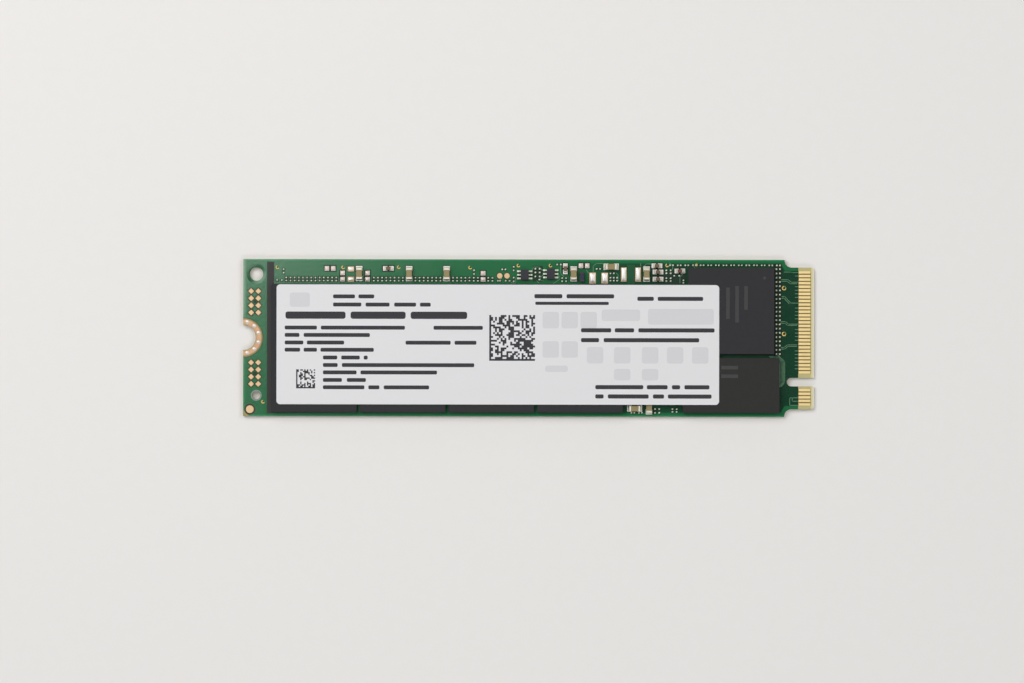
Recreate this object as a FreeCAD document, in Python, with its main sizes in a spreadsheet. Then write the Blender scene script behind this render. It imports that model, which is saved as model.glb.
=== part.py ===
import FreeCAD, Part
import os
import Sketcher

# A single-sided solid state drive card, 22 mm wide and 80 mm long.
# Millimetres. X runs along the card towards its plug edge, Y across it, Z up.
# The origin is under the middle of the card, on the surface that it lies on.

FLASH_COUNT = 4
INDUCTOR_COUNT = 3
PROBE_ROWS = 4
SIDE_LEADS = 3
STRIP_COLUMNS = 200
STRIP_ROWS = 24
HALF_TURN = 180
# How near two places may be and still count as the same one.
NEAR = 0.01

# Contact places across the plug tab, in contact pitches from the card's middle line.
CONTACT_PLACES = 38
KEY_PLACE = -12.25
# Groups of contacts on either side of the key notch: the first place and how many.
UPPER_CONTACTS = ((-9.5, 29), (-18.5, 5))
LOWER_CONTACTS = ((-10, 29), (-18, 4))
# Where the vias stand on the mounting ring, in degrees from the card's middle line.
RING_VIA_ANGLES = (-75, -46, -17, 17, 46, 75)

SIZES = {
    # The laminate and the openings in its solder mask
    "board_thickness": 0.8,
    "mask_step": 0.05,
    "mask_gap": 0.06,
    "edge_margin": 0.55,
    "mount_zone": 4.0,
    "power_zone": 8.4,
    "passive_strip": 3.45,
    "land_strip": 1.2,
    # The plug tab with its key notch and contacts
    "tab_length": 4.15,
    "tab_clearance": 0.75,
    "tab_side": 0.5,
    "tab_corner": 0.3,
    "shoulder_radius": 1.0,
    "shoulder_share": 0.95,
    "bevel_length": 0.4,
    "bevel_height": 0.2,
    "key_width": 1.2,
    "key_depth": 3.8,
    "contact_pitch": 0.5,
    "contact_width": 0.35,
    "contact_length": 1.65,
    "contact_gap": 0.1,
    "contact_thickness": 0.04,
    # The mounting notch and what surrounds it
    "notch_radius": 1.75,
    "ring_radius": 2.75,
    "ring_via_radius": 0.25,
    "probe_radius": 0.42,
    "probe_web": 0.04,
    "probe_setback": 1.12,
    "probe_clearance": 0.75,
    "tooling_setback": 1.85,
    "large_hole_radius": 0.95,
    "large_hole_clearance": 2.4,
    "small_hole_radius": 0.55,
    "small_hole_clearance": 1.6,
    "fiducial_radius": 0.54,
    "fiducial_setback": 0.95,
    "fiducial_opening": 1.05,
    "test_point_radius": 0.385,
    "band_width": 1.0,
    "band_overlap": 0.34,
    "band_margin": 0.4,
    "ink_thickness": 0.02,
    # The packages on their solder balls
    "flash_width": 12.0,
    "flash_length": 18.0,
    "flash_gap": 0.4,
    "cache_width": 13.5,
    "cache_depth": 7.7,
    "controller_size": 12.0,
    "chip_gap": 0.55,
    "package_height": 0.95,
    "pin_mark_radius": 0.25,
    "pin_mark_inset": 1.35,
    "pin_mark_depth": 0.03,
    "ball_height": 0.25,
    "ball_radius": 0.22,
    "ball_margin": 0.7,
    "flash_ball_pitch": 1.0,
    "logic_ball_pitch": 0.8,
    # The label
    "label_thickness": 0.1,
    "label_start": 0.75,
    "label_lower_inset": 1.13,
    "label_upper_inset": 0.11,
    "label_overlap": 4.3,
    "label_corner": 0.5,
    # Chip parts and their lands
    "land_thickness": 0.04,
    "chip_step": 0.02,
    "large_chip_length": 1.6,
    "large_chip_width": 0.85,
    "large_chip_height": 0.8,
    "large_chip_end": 0.35,
    "large_land_length": 0.7,
    "large_land_width": 0.92,
    "small_chip_length": 1.0,
    "small_chip_width": 0.52,
    "small_chip_height": 0.5,
    "small_chip_end": 0.24,
    "small_land_length": 0.62,
    "small_land_width": 0.66,
    "fuse_length": 1.38,
    "fuse_width": 0.69,
    "fuse_height": 0.55,
    "fuse_end": 0.3,
    "coil_land_length": 0.93,
    "coil_land_width": 1.53,
    "coil_land_span": 1.7,
    "tall_land_length": 0.79,
    "tall_land_width": 1.98,
    "tall_land_span": 2.01,
    "fine_land": 0.3,
    "fine_land_pitch": 0.595,
    "fine_land_offset": 0.37,
    "fine_land_gap": 0.49,
    "pair_pitch": 1.07,
    "pair_gap": 0.42,
    "row_overhang": 3.0,
    # The six-lead switches
    "switch_width": 1.13,
    "switch_length": 1.5,
    "switch_height": 0.55,
    "lead_length": 0.5,
    "lead_width": 0.22,
    "lead_thickness": 0.12,
    "lead_pitch": 0.5,
    # The power converter and clock under the label
    "power_inset": 3.0,
    "part_gap": 0.6,
    "power_chip_size": 4.0,
    "power_chip_height": 0.85,
    "inductor_length": 2.5,
    "inductor_width": 2.0,
    "inductor_height": 1.0,
    "inductor_end": 0.45,
    "crystal_length": 2.5,
    "crystal_width": 2.0,
    "crystal_base": 0.35,
    "crystal_lid": 0.2,
    "crystal_rim": 0.15,
}

# Places and outer sizes that follow from the driving sizes, in the card's own frame.
LAYOUT = {
    "flash_pitch": "Sizes.flash_width + Sizes.flash_gap",
    "flash_row": f"{FLASH_COUNT} * Sizes.flash_width + {FLASH_COUNT - 1} * Sizes.flash_gap",
    "board_length": "Sizes.mount_zone + flash_row + Sizes.power_zone + Sizes.cache_width"
                    " + Sizes.tab_clearance + Sizes.tab_length",
    "tab_width": f"{CONTACT_PLACES - 1} * Sizes.contact_pitch + Sizes.contact_width + 2 * Sizes.tab_side",
    "flash_stack": "Sizes.edge_margin + Sizes.flash_length + Sizes.passive_strip",
    "logic_stack": "Sizes.edge_margin + Sizes.cache_depth + Sizes.chip_gap"
                   " + Sizes.controller_size + Sizes.land_strip",
    "board_width": "max(flash_stack; logic_stack; tab_width + 2 * Sizes.shoulder_radius)",
    "mount_end": "-board_length / 2",
    "plug_end": "board_length / 2",
    "lower_edge": "-board_width / 2",
    "upper_edge": "board_width / 2",
    "shoulder": "(board_width - tab_width) / 2",
    "tab_start": "plug_end - Sizes.tab_length",
    "contact_x": "plug_end - Sizes.bevel_length - Sizes.contact_gap - Sizes.contact_length / 2",
    "contact_zone": "plug_end - contact_x + Sizes.contact_length / 2 + Sizes.mask_gap",
    "key_y": f"{KEY_PLACE} * Sizes.contact_pitch",
    "mask_floor": "Sizes.board_thickness - Sizes.mask_step",
    "contact_low": "Sizes.mask_step - Sizes.contact_thickness",
    "via_circle": "(Sizes.notch_radius + Sizes.ring_radius) / 2",
    "probe_x": "mount_end + Sizes.probe_setback",
    "probe_pitch": "2 * (Sizes.probe_radius + Sizes.mask_gap) + Sizes.probe_web",
    "probe_first": "Sizes.ring_radius + Sizes.probe_clearance",
    "probe_last": f"probe_first + {PROBE_ROWS - 1} * probe_pitch",
    "tooling_x": "mount_end + Sizes.tooling_setback",
    "fiducial_x": "mount_end + Sizes.fiducial_setback",
    "fiducial_y": "lower_edge + Sizes.fiducial_setback",
    "flash_start": "mount_end + Sizes.mount_zone",
    "flash_y": "lower_edge + Sizes.edge_margin + Sizes.flash_length / 2",
    "flash_top": "flash_y + Sizes.flash_length / 2",
    "power_start": "flash_start + flash_row",
    "power_x": "power_start + Sizes.power_zone / 2",
    "logic_x": "power_start + Sizes.power_zone + Sizes.cache_width / 2",
    "cache_y": "lower_edge + Sizes.edge_margin + Sizes.cache_depth / 2",
    "controller_y": "cache_y + Sizes.cache_depth / 2 + Sizes.chip_gap + Sizes.controller_size / 2",
    "controller_start": "logic_x - Sizes.controller_size / 2",
    "controller_end": "logic_x + Sizes.controller_size / 2",
    "controller_top": "controller_y + Sizes.controller_size / 2",
    "column_pitch": f"(controller_start - flash_start) / {STRIP_COLUMNS}",
    "row_pitch": f"(upper_edge - flash_top) / {STRIP_ROWS}",
    "package_z": "Sizes.board_thickness + Sizes.ball_height",
    "label_z": "package_z + Sizes.package_height",
    "land_z": "Sizes.board_thickness + Sizes.land_thickness",
    "label_left": "flash_start + Sizes.label_start",
    "label_right": "controller_start + Sizes.label_overlap",
    "label_bottom": "lower_edge + Sizes.edge_margin + Sizes.label_lower_inset",
    "label_top": "flash_top - Sizes.label_upper_inset",
    "inductor_pitch": "Sizes.inductor_width + Sizes.part_gap",
    "inductor_y": "lower_edge + Sizes.power_inset + Sizes.inductor_width / 2",
    "power_chip_y": f"lower_edge + Sizes.power_inset + {INDUCTOR_COUNT} * inductor_pitch"
                    " + Sizes.power_chip_size / 2",
    "crystal_y": "power_chip_y + Sizes.power_chip_size / 2 + Sizes.part_gap + Sizes.crystal_width / 2",
    "flash_balls": "floor((Sizes.flash_width - 2 * Sizes.ball_margin) / Sizes.flash_ball_pitch) + 1",
    "flash_ball_rows": "floor((Sizes.flash_length - 2 * Sizes.ball_margin) / Sizes.flash_ball_pitch)",
    "cache_balls": "floor((Sizes.cache_width - 2 * Sizes.ball_margin) / Sizes.logic_ball_pitch) + 1",
    "cache_ball_rows": "floor((Sizes.cache_depth - 2 * Sizes.ball_margin) / Sizes.logic_ball_pitch)",
    "controller_balls": "floor((Sizes.controller_size - 2 * Sizes.ball_margin)"
                        " / Sizes.logic_ball_pitch) + 1",
    "side_lands": "floor(Sizes.controller_size / Sizes.fine_land_pitch) + 1",
    "top_land_pairs": "floor((Sizes.controller_size + Sizes.row_overhang) / Sizes.pair_pitch) + 1",
}

# Places on the component strip: columns run from the first flash package to the controller,
# rows run down from the card's upper edge to the flash packages.
LARGE_CHIPS = {
    "capacitor_1": (42, 14, True),
    "capacitor_2": (66, 14, True),
    "capacitor_3": (84, 14, True),
    "capacitor_4": (145, 14, True),
    "capacitor_5": (180, 14, True),
    "capacitor_6": (163, 7, False),
}
SMALL_CHIPS = {
    "small_capacitor_1": (141, 9, True),
    "small_capacitor_2": (56, 9, False),
    "small_capacitor_3": (185, 6, False),
    "small_capacitor_4": (185.5, 12, False),
    "small_capacitor_5": (185.5, 19, False),
    "small_capacitor_6": (196, 11, False),
}
SWITCHES = {"power_switch_1": (121.5, 15), "power_switch_2": (134, 14)}
FUSE_PLACE = (149, 17)
EMPTY_LARGE_LANDS = ((38, 14.5, True),)
EMPTY_SMALL_LANDS = (
    (28, 9, False),
    (34, 16.5, True),
    (46, 16.5, True),
    (101.5, 16.5, True),
    (150, 6, False),
)
COIL_LANDS = (157, 18)
TALL_LANDS = (172.5, 14.5)
TEST_POINTS = ((109.5, 16), (113, 16))
FLASH_LAND_RUNS = ((7, 13), (49, 8), (69, 7), (87, 7), (104, 2))
FLASH_LAND_ROWS = (21, 18)
# Two chips near the lower edge of the power section, as shares of its width and rows up from the edge.
LOWER_CHIPS = {"capacitor_7": (0.2, 8, False), "capacitor_8": (0.44, 9.5, True)}

doc = FreeCAD.newDocument("solid_state_drive")
nodes = []


def fill_sheet(name, rows):
    """Writes named values into a sheet, one to a row."""
    sheet = doc.addObject("Spreadsheet::Sheet", name)
    for row, (alias, text) in enumerate(rows.items(), start=1):
        sheet.set(f"A{row}", alias)
        sheet.set(f"B{row}", text)
        sheet.setAlias(f"B{row}", alias)
    doc.recompute()
    return sheet


sizes = fill_sheet("Sizes", {alias: str(number) for alias, number in SIZES.items()})
layout = fill_sheet("Layout", {alias: "=" + formula for alias, formula in LAYOUT.items()})


def present(expression):
    """Gives the present value of an expression."""
    return float(sizes.evalExpression(expression))


def bind(item, bindings):
    """Ties properties of an object to expressions."""
    for name, expression in bindings.items():
        item.setExpression(name, expression)


def place(item, x="0", y="0", z="0", turned=False):
    """Sets an object's place, turned a quarter about the vertical where asked."""
    angle = 90 if turned else 0
    item.Placement = FreeCAD.Placement(FreeCAD.Vector(), FreeCAD.Rotation(FreeCAD.Vector(0, 0, 1), angle))
    bind(item, {"Placement.Base.x": x, "Placement.Base.y": y, "Placement.Base.z": z})


def new_body(label):
    """Starts a sub-part."""
    body = doc.addObject("PartDesign::Body", label)
    body.Label = label
    nodes.append(body)
    return body


def origin_item(body, role):
    """Finds one of a sub-part's own planes or axes."""
    return [item for item in body.Origin.OriginFeatures if item.Role == role][0]


def new_sketch(body, name, plane="XY_Plane", lift="0"):
    """Starts a sketch on one of the sub-part's planes, lifted along its normal."""
    sketch = body.newObject("Sketcher::SketchObject", f"{body.Label}_{name}")
    sketch.AttachmentSupport = (origin_item(body, plane), [""])
    sketch.MapMode = "FlatFace"
    sketch.setExpression("AttachmentOffset.Base.z", lift)
    return sketch


def hold(sketch, name, constraint, expression):
    """Adds a dimension to a sketch and ties it to an expression."""
    sketch.renameConstraint(sketch.addConstraint(constraint), name)
    sketch.setExpression(f"Constraints.{name}", expression)


def outline(sketch, tag, corners):
    """Draws a closed chain of straight edges through corners given as pairs of expressions."""
    first = sketch.GeometryCount
    spots = [FreeCAD.Vector(present(x), present(y), 0) for x, y in corners]
    for here, there in zip(spots, spots[1:] + spots[:1]):
        sketch.addGeometry(Part.LineSegment(here, there), False)
    for number, (x, y) in enumerate(corners):
        line = first + number
        following = first + (number + 1) % len(corners)
        sketch.addConstraint(Sketcher.Constraint("Coincident", line, 2, following, 1))
        along = Sketcher.Constraint("DistanceX", -1, 1, line, 1, spots[number].x)
        across = Sketcher.Constraint("DistanceY", -1, 1, line, 1, spots[number].y)
        hold(sketch, f"{tag}_x{number}", along, x)
        hold(sketch, f"{tag}_y{number}", across, y)


def rectangle(sketch, tag, x, y, width, depth):
    """Draws a rectangle about a centre."""
    left = f"{x} - ({width}) / 2"
    right = f"{x} + ({width}) / 2"
    bottom = f"{y} - ({depth}) / 2"
    top = f"{y} + ({depth}) / 2"
    outline(sketch, tag, ((left, bottom), (right, bottom), (right, top), (left, top)))


def diamond(sketch, tag, x, y, radius):
    """Draws a square that stands on its corner."""
    left, right = f"{x} - ({radius})", f"{x} + ({radius})"
    bottom, top = f"{y} - ({radius})", f"{y} + ({radius})"
    outline(sketch, tag, ((left, y), (x, bottom), (right, y), (x, top)))


def hexagon(sketch, tag, x, y, radius):
    """Draws a regular hexagon with two corners in line with its centre along X."""
    half = f"({radius}) / 2"
    rise = f"({radius}) * sqrt(3) / 2"
    corners = (
        (f"{x} - ({radius})", y),
        (f"{x} - {half}", f"{y} - {rise}"),
        (f"{x} + {half}", f"{y} - {rise}"),
        (f"{x} + ({radius})", y),
        (f"{x} + {half}", f"{y} + {rise}"),
        (f"{x} - {half}", f"{y} + {rise}"),
    )
    outline(sketch, tag, corners)


def circle(sketch, tag, x, y, radius):
    """Draws a circle."""
    centre = FreeCAD.Vector(present(x), present(y), 0)
    size = present(radius)
    curve = sketch.addGeometry(Part.Circle(centre, FreeCAD.Vector(0, 0, 1), size), False)
    hold(sketch, f"{tag}_x", Sketcher.Constraint("DistanceX", -1, 1, curve, 3, centre.x), x)
    hold(sketch, f"{tag}_y", Sketcher.Constraint("DistanceY", -1, 1, curve, 3, centre.y), y)
    hold(sketch, f"{tag}_radius", Sketcher.Constraint("Radius", curve, size), radius)


def pad(body, sketch, length):
    """Raises a sketch into a solid."""
    feature = body.newObject("PartDesign::Pad", f"{sketch.Name}_pad")
    feature.Profile = sketch
    feature.setExpression("Length", length)
    body.Tip = feature
    return feature


def pocket(body, sketch, depth=None, upward=False, both_ways=False):
    """Cuts a sketch out of the solid, to a depth or right through, and makes sure that it cut."""
    doc.recompute()
    volume = body.Shape.Volume
    feature = body.newObject("PartDesign::Pocket", f"{sketch.Name}_cut")
    feature.Profile = sketch
    feature.Reversed = upward
    feature.Midplane = both_ways
    if depth is None:
        feature.Type = "ThroughAll"
    else:
        feature.setExpression("Length", depth)
    body.Tip = feature
    doc.recompute()
    if not 0 < body.Shape.Volume < volume:
        raise RuntimeError(f"{feature.Name} cuts nothing")
    return feature


def pattern(body, feature, count, step, axis):
    """Repeats a feature along an axis."""
    repeat = body.newObject("PartDesign::LinearPattern", f"{feature.Name}_row")
    repeat.Originals = [feature]
    repeat.Direction = (origin_item(body, axis), [""])
    repeat.Mode = "Spacing"
    bind(repeat, {"Occurrences": count, "Offset": step})
    body.Tip = repeat


def upright_edges(shape, spots):
    """Names the vertical edges that stand at given places."""
    names = []
    for number, edge in enumerate(shape.Edges, start=1):
        ends = [vertex.Point for vertex in edge.Vertexes]
        if len(ends) < 2 or abs(ends[0].z - ends[1].z) < edge.Length / 2:
            continue
        if any(abs(ends[0].x - x) < NEAR and abs(ends[0].y - y) < NEAR for x, y in spots):
            names.append(f"Edge{number}")
    return names


def round_edges(body, feature, spots, radius):
    """Rounds the vertical edges at given places."""
    doc.recompute()
    fillet = body.newObject("PartDesign::Fillet", f"{body.Label}_rounding")
    fillet.Base = (feature, upright_edges(feature.Shape, spots))
    fillet.setExpression("Radius", radius)
    body.Tip = fillet


def strip_x(column):
    """Gives the X of a column of the component strip."""
    return f"Layout.flash_start + {column} * Layout.column_pitch"


def strip_y(row):
    """Gives the Y of a row of the component strip."""
    return f"Layout.upper_edge - {row} * Layout.row_pitch"


def strip_places(rows):
    """Gives the X, Y and turn of places on the component strip."""
    return [(strip_x(column), strip_y(row), turned) for column, row, turned in rows]


def board_blank(body):
    """The card's outline with its narrower plug tab, raised to the board's thickness."""
    start, end = "Layout.mount_end", "Layout.plug_end"
    low, high = "Layout.lower_edge", "Layout.upper_edge"
    tab_low, tab_high = "Layout.lower_edge + Layout.shoulder", "Layout.upper_edge - Layout.shoulder"
    tab_in = "Layout.plug_end - Sizes.tab_corner"
    corners = (
        (start, low),
        ("Layout.tab_start", low),
        ("Layout.tab_start", tab_low),
        (tab_in, tab_low),
        (end, f"{tab_low} + Sizes.tab_corner"),
        (end, f"{tab_high} - Sizes.tab_corner"),
        (tab_in, tab_high),
        ("Layout.tab_start", tab_high),
        ("Layout.tab_start", high),
        (start, high),
    )
    sketch = new_sketch(body, "outline")
    outline(sketch, "edge", corners)
    blank = pad(body, sketch, "Sizes.board_thickness")
    inner = present("Layout.tab_start")
    spots = ((inner, present(tab_low)), (inner, present(tab_high)))
    round_edges(body, blank, spots, "min(Sizes.shoulder_radius; Sizes.shoulder_share * Layout.shoulder)")


def board_bores(body):
    """The mounting notch with its ring of via holes, the key notch with its round end, and the tooling holes."""
    notch = new_sketch(body, "notch", lift="Sizes.board_thickness")
    circle(notch, "bore", "Layout.mount_end", "0", "Sizes.notch_radius")
    ring_vias(notch, "Layout.mount_end")
    pocket(body, notch)
    key = new_sketch(body, "key", lift="Sizes.board_thickness")
    key_run = "Sizes.key_depth - Sizes.key_width / 2"
    rectangle(key, "slot", f"Layout.plug_end - ({key_run}) / 2", "Layout.key_y", key_run, "Sizes.key_width")
    pocket(body, key)
    key_end = new_sketch(body, "key_end", lift="Sizes.board_thickness")
    circle(key_end, "end", f"Layout.plug_end - ({key_run})", "Layout.key_y", "Sizes.key_width / 2")
    pocket(body, key_end)
    tooling = new_sketch(body, "tooling", lift="Sizes.board_thickness")
    large_y = "Layout.probe_last + Sizes.large_hole_clearance"
    small_y = "-Layout.probe_last - Sizes.small_hole_clearance"
    circle(tooling, "large", "Layout.tooling_x", large_y, "Sizes.large_hole_radius")
    circle(tooling, "small", "Layout.tooling_x", small_y, "Sizes.small_hole_radius")
    pocket(body, tooling)


def board_mask_openings(body):
    """Shallow openings in the solder mask: contact zones, mounting ring, corner mark and probe pads."""
    for name, lift, upward in (("upper", "Sizes.board_thickness", False), ("lower", "0", True)):
        zone = new_sketch(body, f"{name}_zone", lift=lift)
        middle = "Layout.plug_end - Layout.contact_zone / 2"
        rectangle(zone, "zone", middle, "0", "Layout.contact_zone", "Layout.tab_width")
        circle(zone, "ring", "Layout.mount_end", "0", "Sizes.ring_radius + Sizes.mask_gap")
        pocket(body, zone, "Sizes.mask_step", upward)
    mark = new_sketch(body, "mark", lift="Sizes.board_thickness")
    circle(mark, "mark", "Layout.fiducial_x", "Layout.fiducial_y", "Sizes.fiducial_opening")
    pocket(body, mark, "Sizes.mask_step")
    probes = new_sketch(body, "probes", lift="Sizes.board_thickness")
    probe_grid(probes, "Sizes.probe_radius + Sizes.mask_gap")
    cut = pocket(body, probes, "Sizes.mask_step")
    pattern(body, cut, str(PROBE_ROWS), "Layout.probe_pitch", "Y_Axis")


def board_bevel(body):
    """The plug edge tapered from both faces, so that it slips into a socket."""
    sketch = new_sketch(body, "bevel", "XZ_Plane")
    back = "Layout.plug_end - Sizes.bevel_length"
    end = "Layout.plug_end"
    outline(sketch, "upper", ((back, "Layout.mask_floor"), (end, "Layout.mask_floor - Sizes.bevel_height"),
                              (end, "Layout.mask_floor")))
    outline(sketch, "lower", ((back, "Sizes.mask_step"), (end, "Sizes.mask_step"),
                              (end, "Sizes.mask_step + Sizes.bevel_height")))
    pocket(body, sketch, both_ways=True)


def circuit_board():
    """The laminate card."""
    body = new_body("circuit_board")
    board_blank(body)
    board_bores(body)
    board_bevel(body)
    board_mask_openings(body)


def edge_contacts(label, lift, groups):
    """A row of contacts inlaid in the mask opening, in groups on either side of the key notch."""
    body = new_body(label)
    for number, (first, count) in enumerate(groups, start=1):
        sketch = new_sketch(body, f"group_{number}", lift=lift)
        start = f"{first} * Sizes.contact_pitch"
        rectangle(sketch, "pad", "Layout.contact_x", start, "Sizes.contact_length", "Sizes.contact_width")
        contact = pad(body, sketch, "Sizes.contact_thickness")
        pattern(body, contact, str(count), "Sizes.contact_pitch", "Y_Axis")


def ring_vias(sketch, centre):
    """The outlines of the vias around the mounting notch."""
    for number, angle in enumerate(RING_VIA_ANGLES, start=1):
        x = f"{centre} + Layout.via_circle * cos({angle})"
        y = f"Layout.via_circle * sin({angle})"
        hexagon(sketch, f"via_{number}", x, y, "Sizes.ring_via_radius")


def mount_plating():
    """A plated half ring around the mounting notch on each face of the board."""
    body = new_body("mount_plating")
    place(body, "Layout.mount_end")
    inner, outer = "Sizes.notch_radius", "Sizes.ring_radius"
    sketch = new_sketch(body, "section", "XZ_Plane")
    for tag, low in (("lower", "Layout.contact_low"), ("upper", "Layout.mask_floor")):
        high = f"{low} + Sizes.contact_thickness"
        outline(sketch, tag, ((inner, low), (outer, low), (outer, high), (inner, high)))
    ring = body.newObject("PartDesign::Revolution", "mount_plating_ring")
    ring.Profile = sketch
    ring.ReferenceAxis = (sketch, ["V_Axis"])
    ring.Angle = HALF_TURN
    ring.Midplane = True
    body.Tip = ring
    holes = new_sketch(body, "holes", lift="Sizes.board_thickness")
    ring_vias(holes, "0")
    pocket(body, holes)


def mount_vias():
    """Solder-filled vias through the board, which join the two half rings."""
    body = new_body("mount_vias")
    place(body, "Layout.mount_end", z="Layout.contact_low")
    sketch = new_sketch(body, "outlines")
    ring_vias(sketch, "0")
    pad(body, sketch, "Sizes.board_thickness - 2 * Layout.contact_low")


def probe_grid(sketch, radius):
    """The first diamond of each of four columns of probe pads, two on either side of the notch."""
    for number, x in enumerate(("Layout.probe_x", "Layout.probe_x + Layout.probe_pitch"), start=1):
        diamond(sketch, f"upper_{number}", x, "Layout.probe_first", radius)
        diamond(sketch, f"lower_{number}", x, "-Layout.probe_last", radius)


def probe_pads():
    """Sixteen gold diamonds in their mask openings."""
    body = new_body("probe_pads")
    sketch = new_sketch(body, "grid", lift="Layout.mask_floor")
    probe_grid(sketch, "Sizes.probe_radius")
    pads = pad(body, sketch, "Sizes.contact_thickness")
    pattern(body, pads, str(PROBE_ROWS), "Layout.probe_pitch", "Y_Axis")


def fiducial_pad():
    """The round alignment mark in the card's corner."""
    body = new_body("fiducial_pad")
    sketch = new_sketch(body, "disc", lift="Layout.mask_floor")
    circle(sketch, "disc", "Layout.fiducial_x", "Layout.fiducial_y", "Sizes.fiducial_radius")
    pad(body, sketch, "Sizes.contact_thickness")


def test_points():
    """Two round gold test points on the component strip."""
    body = new_body("test_points")
    sketch = new_sketch(body, "discs", lift="Sizes.board_thickness")
    for number, (column, row) in enumerate(TEST_POINTS, start=1):
        circle(sketch, f"disc_{number}", strip_x(column), strip_y(row), "Sizes.test_point_radius")
    pad(body, sketch, "Sizes.land_thickness")


def ink_band():
    """A printed band across the card that runs a little under the first flash package."""
    body = new_body("ink_band")
    sketch = new_sketch(body, "band", lift="Sizes.board_thickness")
    middle = "Layout.flash_start + Sizes.band_overlap - Sizes.band_width / 2"
    rectangle(sketch, "band", middle, "0", "Sizes.band_width", "Layout.board_width - 2 * Sizes.band_margin")
    pad(body, sketch, "Sizes.ink_thickness")


def package(label, x, y, width, depth):
    """A moulded package, held clear of the board by its solder balls."""
    body = new_body(label)
    place(body, x, y, "Layout.package_z")
    sketch = new_sketch(body, "outline")
    rectangle(sketch, "edge", "0", "0", width, depth)
    pad(body, sketch, "Sizes.package_height")
    return body


def pin_mark(body, width, depth):
    """A round dimple in the package's top, near the corner of its first ball."""
    sketch = new_sketch(body, "mark", lift="Sizes.package_height")
    x = f"({width}) / 2 - Sizes.pin_mark_inset"
    y = f"({depth}) / 2 - Sizes.pin_mark_inset"
    circle(sketch, "mark", x, y, "Sizes.pin_mark_radius")
    pocket(body, sketch, "Sizes.pin_mark_depth")


def solder_balls(label, x, y, count, row_steps, step):
    """The two outer rows of a package's solder balls."""
    body = new_body(label)
    place(body, x, y, "Sizes.board_thickness")
    sketch = new_sketch(body, "ball")
    first_x = f"-({count} - 1) * {step} / 2"
    for tag, sign in (("near", "-"), ("far", "")):
        hexagon(sketch, tag, first_x, f"{sign}({row_steps}) * {step} / 2", "Sizes.ball_radius")
    pattern(body, pad(body, sketch, "Sizes.ball_height"), count, step, "X_Axis")


def memory_and_controller():
    """The flash packages, the controller and its cache memory, each on solder balls."""
    for number in range(FLASH_COUNT):
        label = f"flash_memory_{number + 1}"
        x = f"Layout.flash_start + Sizes.flash_width / 2 + {number} * Layout.flash_pitch"
        package(label, x, "Layout.flash_y", "Sizes.flash_width", "Sizes.flash_length")
        solder_balls(f"{label}_solder_balls", x, "Layout.flash_y", "Layout.flash_balls",
                     "Layout.flash_ball_rows", "Sizes.flash_ball_pitch")
    side = "Sizes.controller_size"
    controller = package("controller", "Layout.logic_x", "Layout.controller_y", side, side)
    pin_mark(controller, side, side)
    solder_balls("controller_solder_balls", "Layout.logic_x", "Layout.controller_y",
                 "Layout.controller_balls", "Layout.controller_balls - 1", "Sizes.logic_ball_pitch")
    package("cache_memory", "Layout.logic_x", "Layout.cache_y", "Sizes.cache_width", "Sizes.cache_depth")
    solder_balls("cache_memory_solder_balls", "Layout.logic_x", "Layout.cache_y",
                 "Layout.cache_balls", "Layout.cache_ball_rows", "Sizes.logic_ball_pitch")


def label():
    """A thin film with rounded corners, laid flat across the packages."""
    body = new_body("label")
    sketch = new_sketch(body, "outline", lift="Layout.label_z")
    left, right = "Layout.label_left", "Layout.label_right"
    bottom, top = "Layout.label_bottom", "Layout.label_top"
    corners = ((left, bottom), (right, bottom), (right, top), (left, top))
    outline(sketch, "edge", corners)
    film = pad(body, sketch, "Sizes.label_thickness")
    round_edges(body, film, [(present(x), present(y)) for x, y in corners], "Sizes.label_corner")


def chip_part(label, kind, x, y, z, turned):
    """A chip with an end cap at each end, the caps standing a little proud of the block between them."""
    body = new_body(label)
    place(body, x, y, z, turned)
    length, width, height, end = (f"Sizes.{kind}_{side}" for side in ("length", "width", "height", "end"))
    block = new_sketch(body, "block", lift="Sizes.chip_step")
    rectangle(block, "block", "0", "0", f"{length} - {end}", f"{width} - 2 * Sizes.chip_step")
    pad(body, block, f"{height} - 2 * Sizes.chip_step")
    caps = new_sketch(body, "caps")
    for tag, sign in (("near", "-"), ("far", "")):
        rectangle(caps, tag, f"{sign}({length} - {end}) / 2", "0", end, width)
    pad(body, caps, height)


def lower_place(share, row):
    """Gives the X and Y of a chip near the lower edge of the power section."""
    x = f"Layout.power_start + {share} * Sizes.power_zone"
    y = f"Layout.lower_edge + {row} * Layout.row_pitch"
    return x, y


def chip_parts():
    """The chip capacitors and the fuse, seated on their solder lands."""
    for kind, chips in (("large_chip", LARGE_CHIPS), ("small_chip", SMALL_CHIPS)):
        for name, (column, row, turned) in chips.items():
            chip_part(name, kind, strip_x(column), strip_y(row), "Layout.land_z", turned)
    for name, (share, row, turned) in LOWER_CHIPS.items():
        x, y = lower_place(share, row)
        chip_part(name, "large_chip", x, y, "Layout.land_z", turned)
    column, row = FUSE_PLACE
    chip_part("chip_fuse", "fuse", strip_x(column), strip_y(row), "Sizes.board_thickness", True)


def land_group(label, pairs):
    """Pairs of flat solder lands, each pair along X or turned along Y."""
    lands = []
    for x, y, turned, length, width, span in pairs:
        along, across = (width, length) if turned else (length, width)
        for sign in ("-", "+"):
            land = doc.addObject("Part::Box", f"{label}_{len(lands) + 1}")
            shift_x = "0" if turned else f"{sign}1 * ({span}) / 2"
            shift_y = f"{sign}1 * ({span}) / 2" if turned else "0"
            bind(land, {"Length": along, "Width": across, "Height": "Sizes.land_thickness"})
            place(land, f"{x} + {shift_x} - ({along}) / 2", f"{y} + {shift_y} - ({across}) / 2",
                  "Sizes.board_thickness")
            lands.append(land)
    group = doc.addObject("Part::Compound", label)
    group.Label = label
    group.Links = lands
    nodes.append(group)


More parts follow.
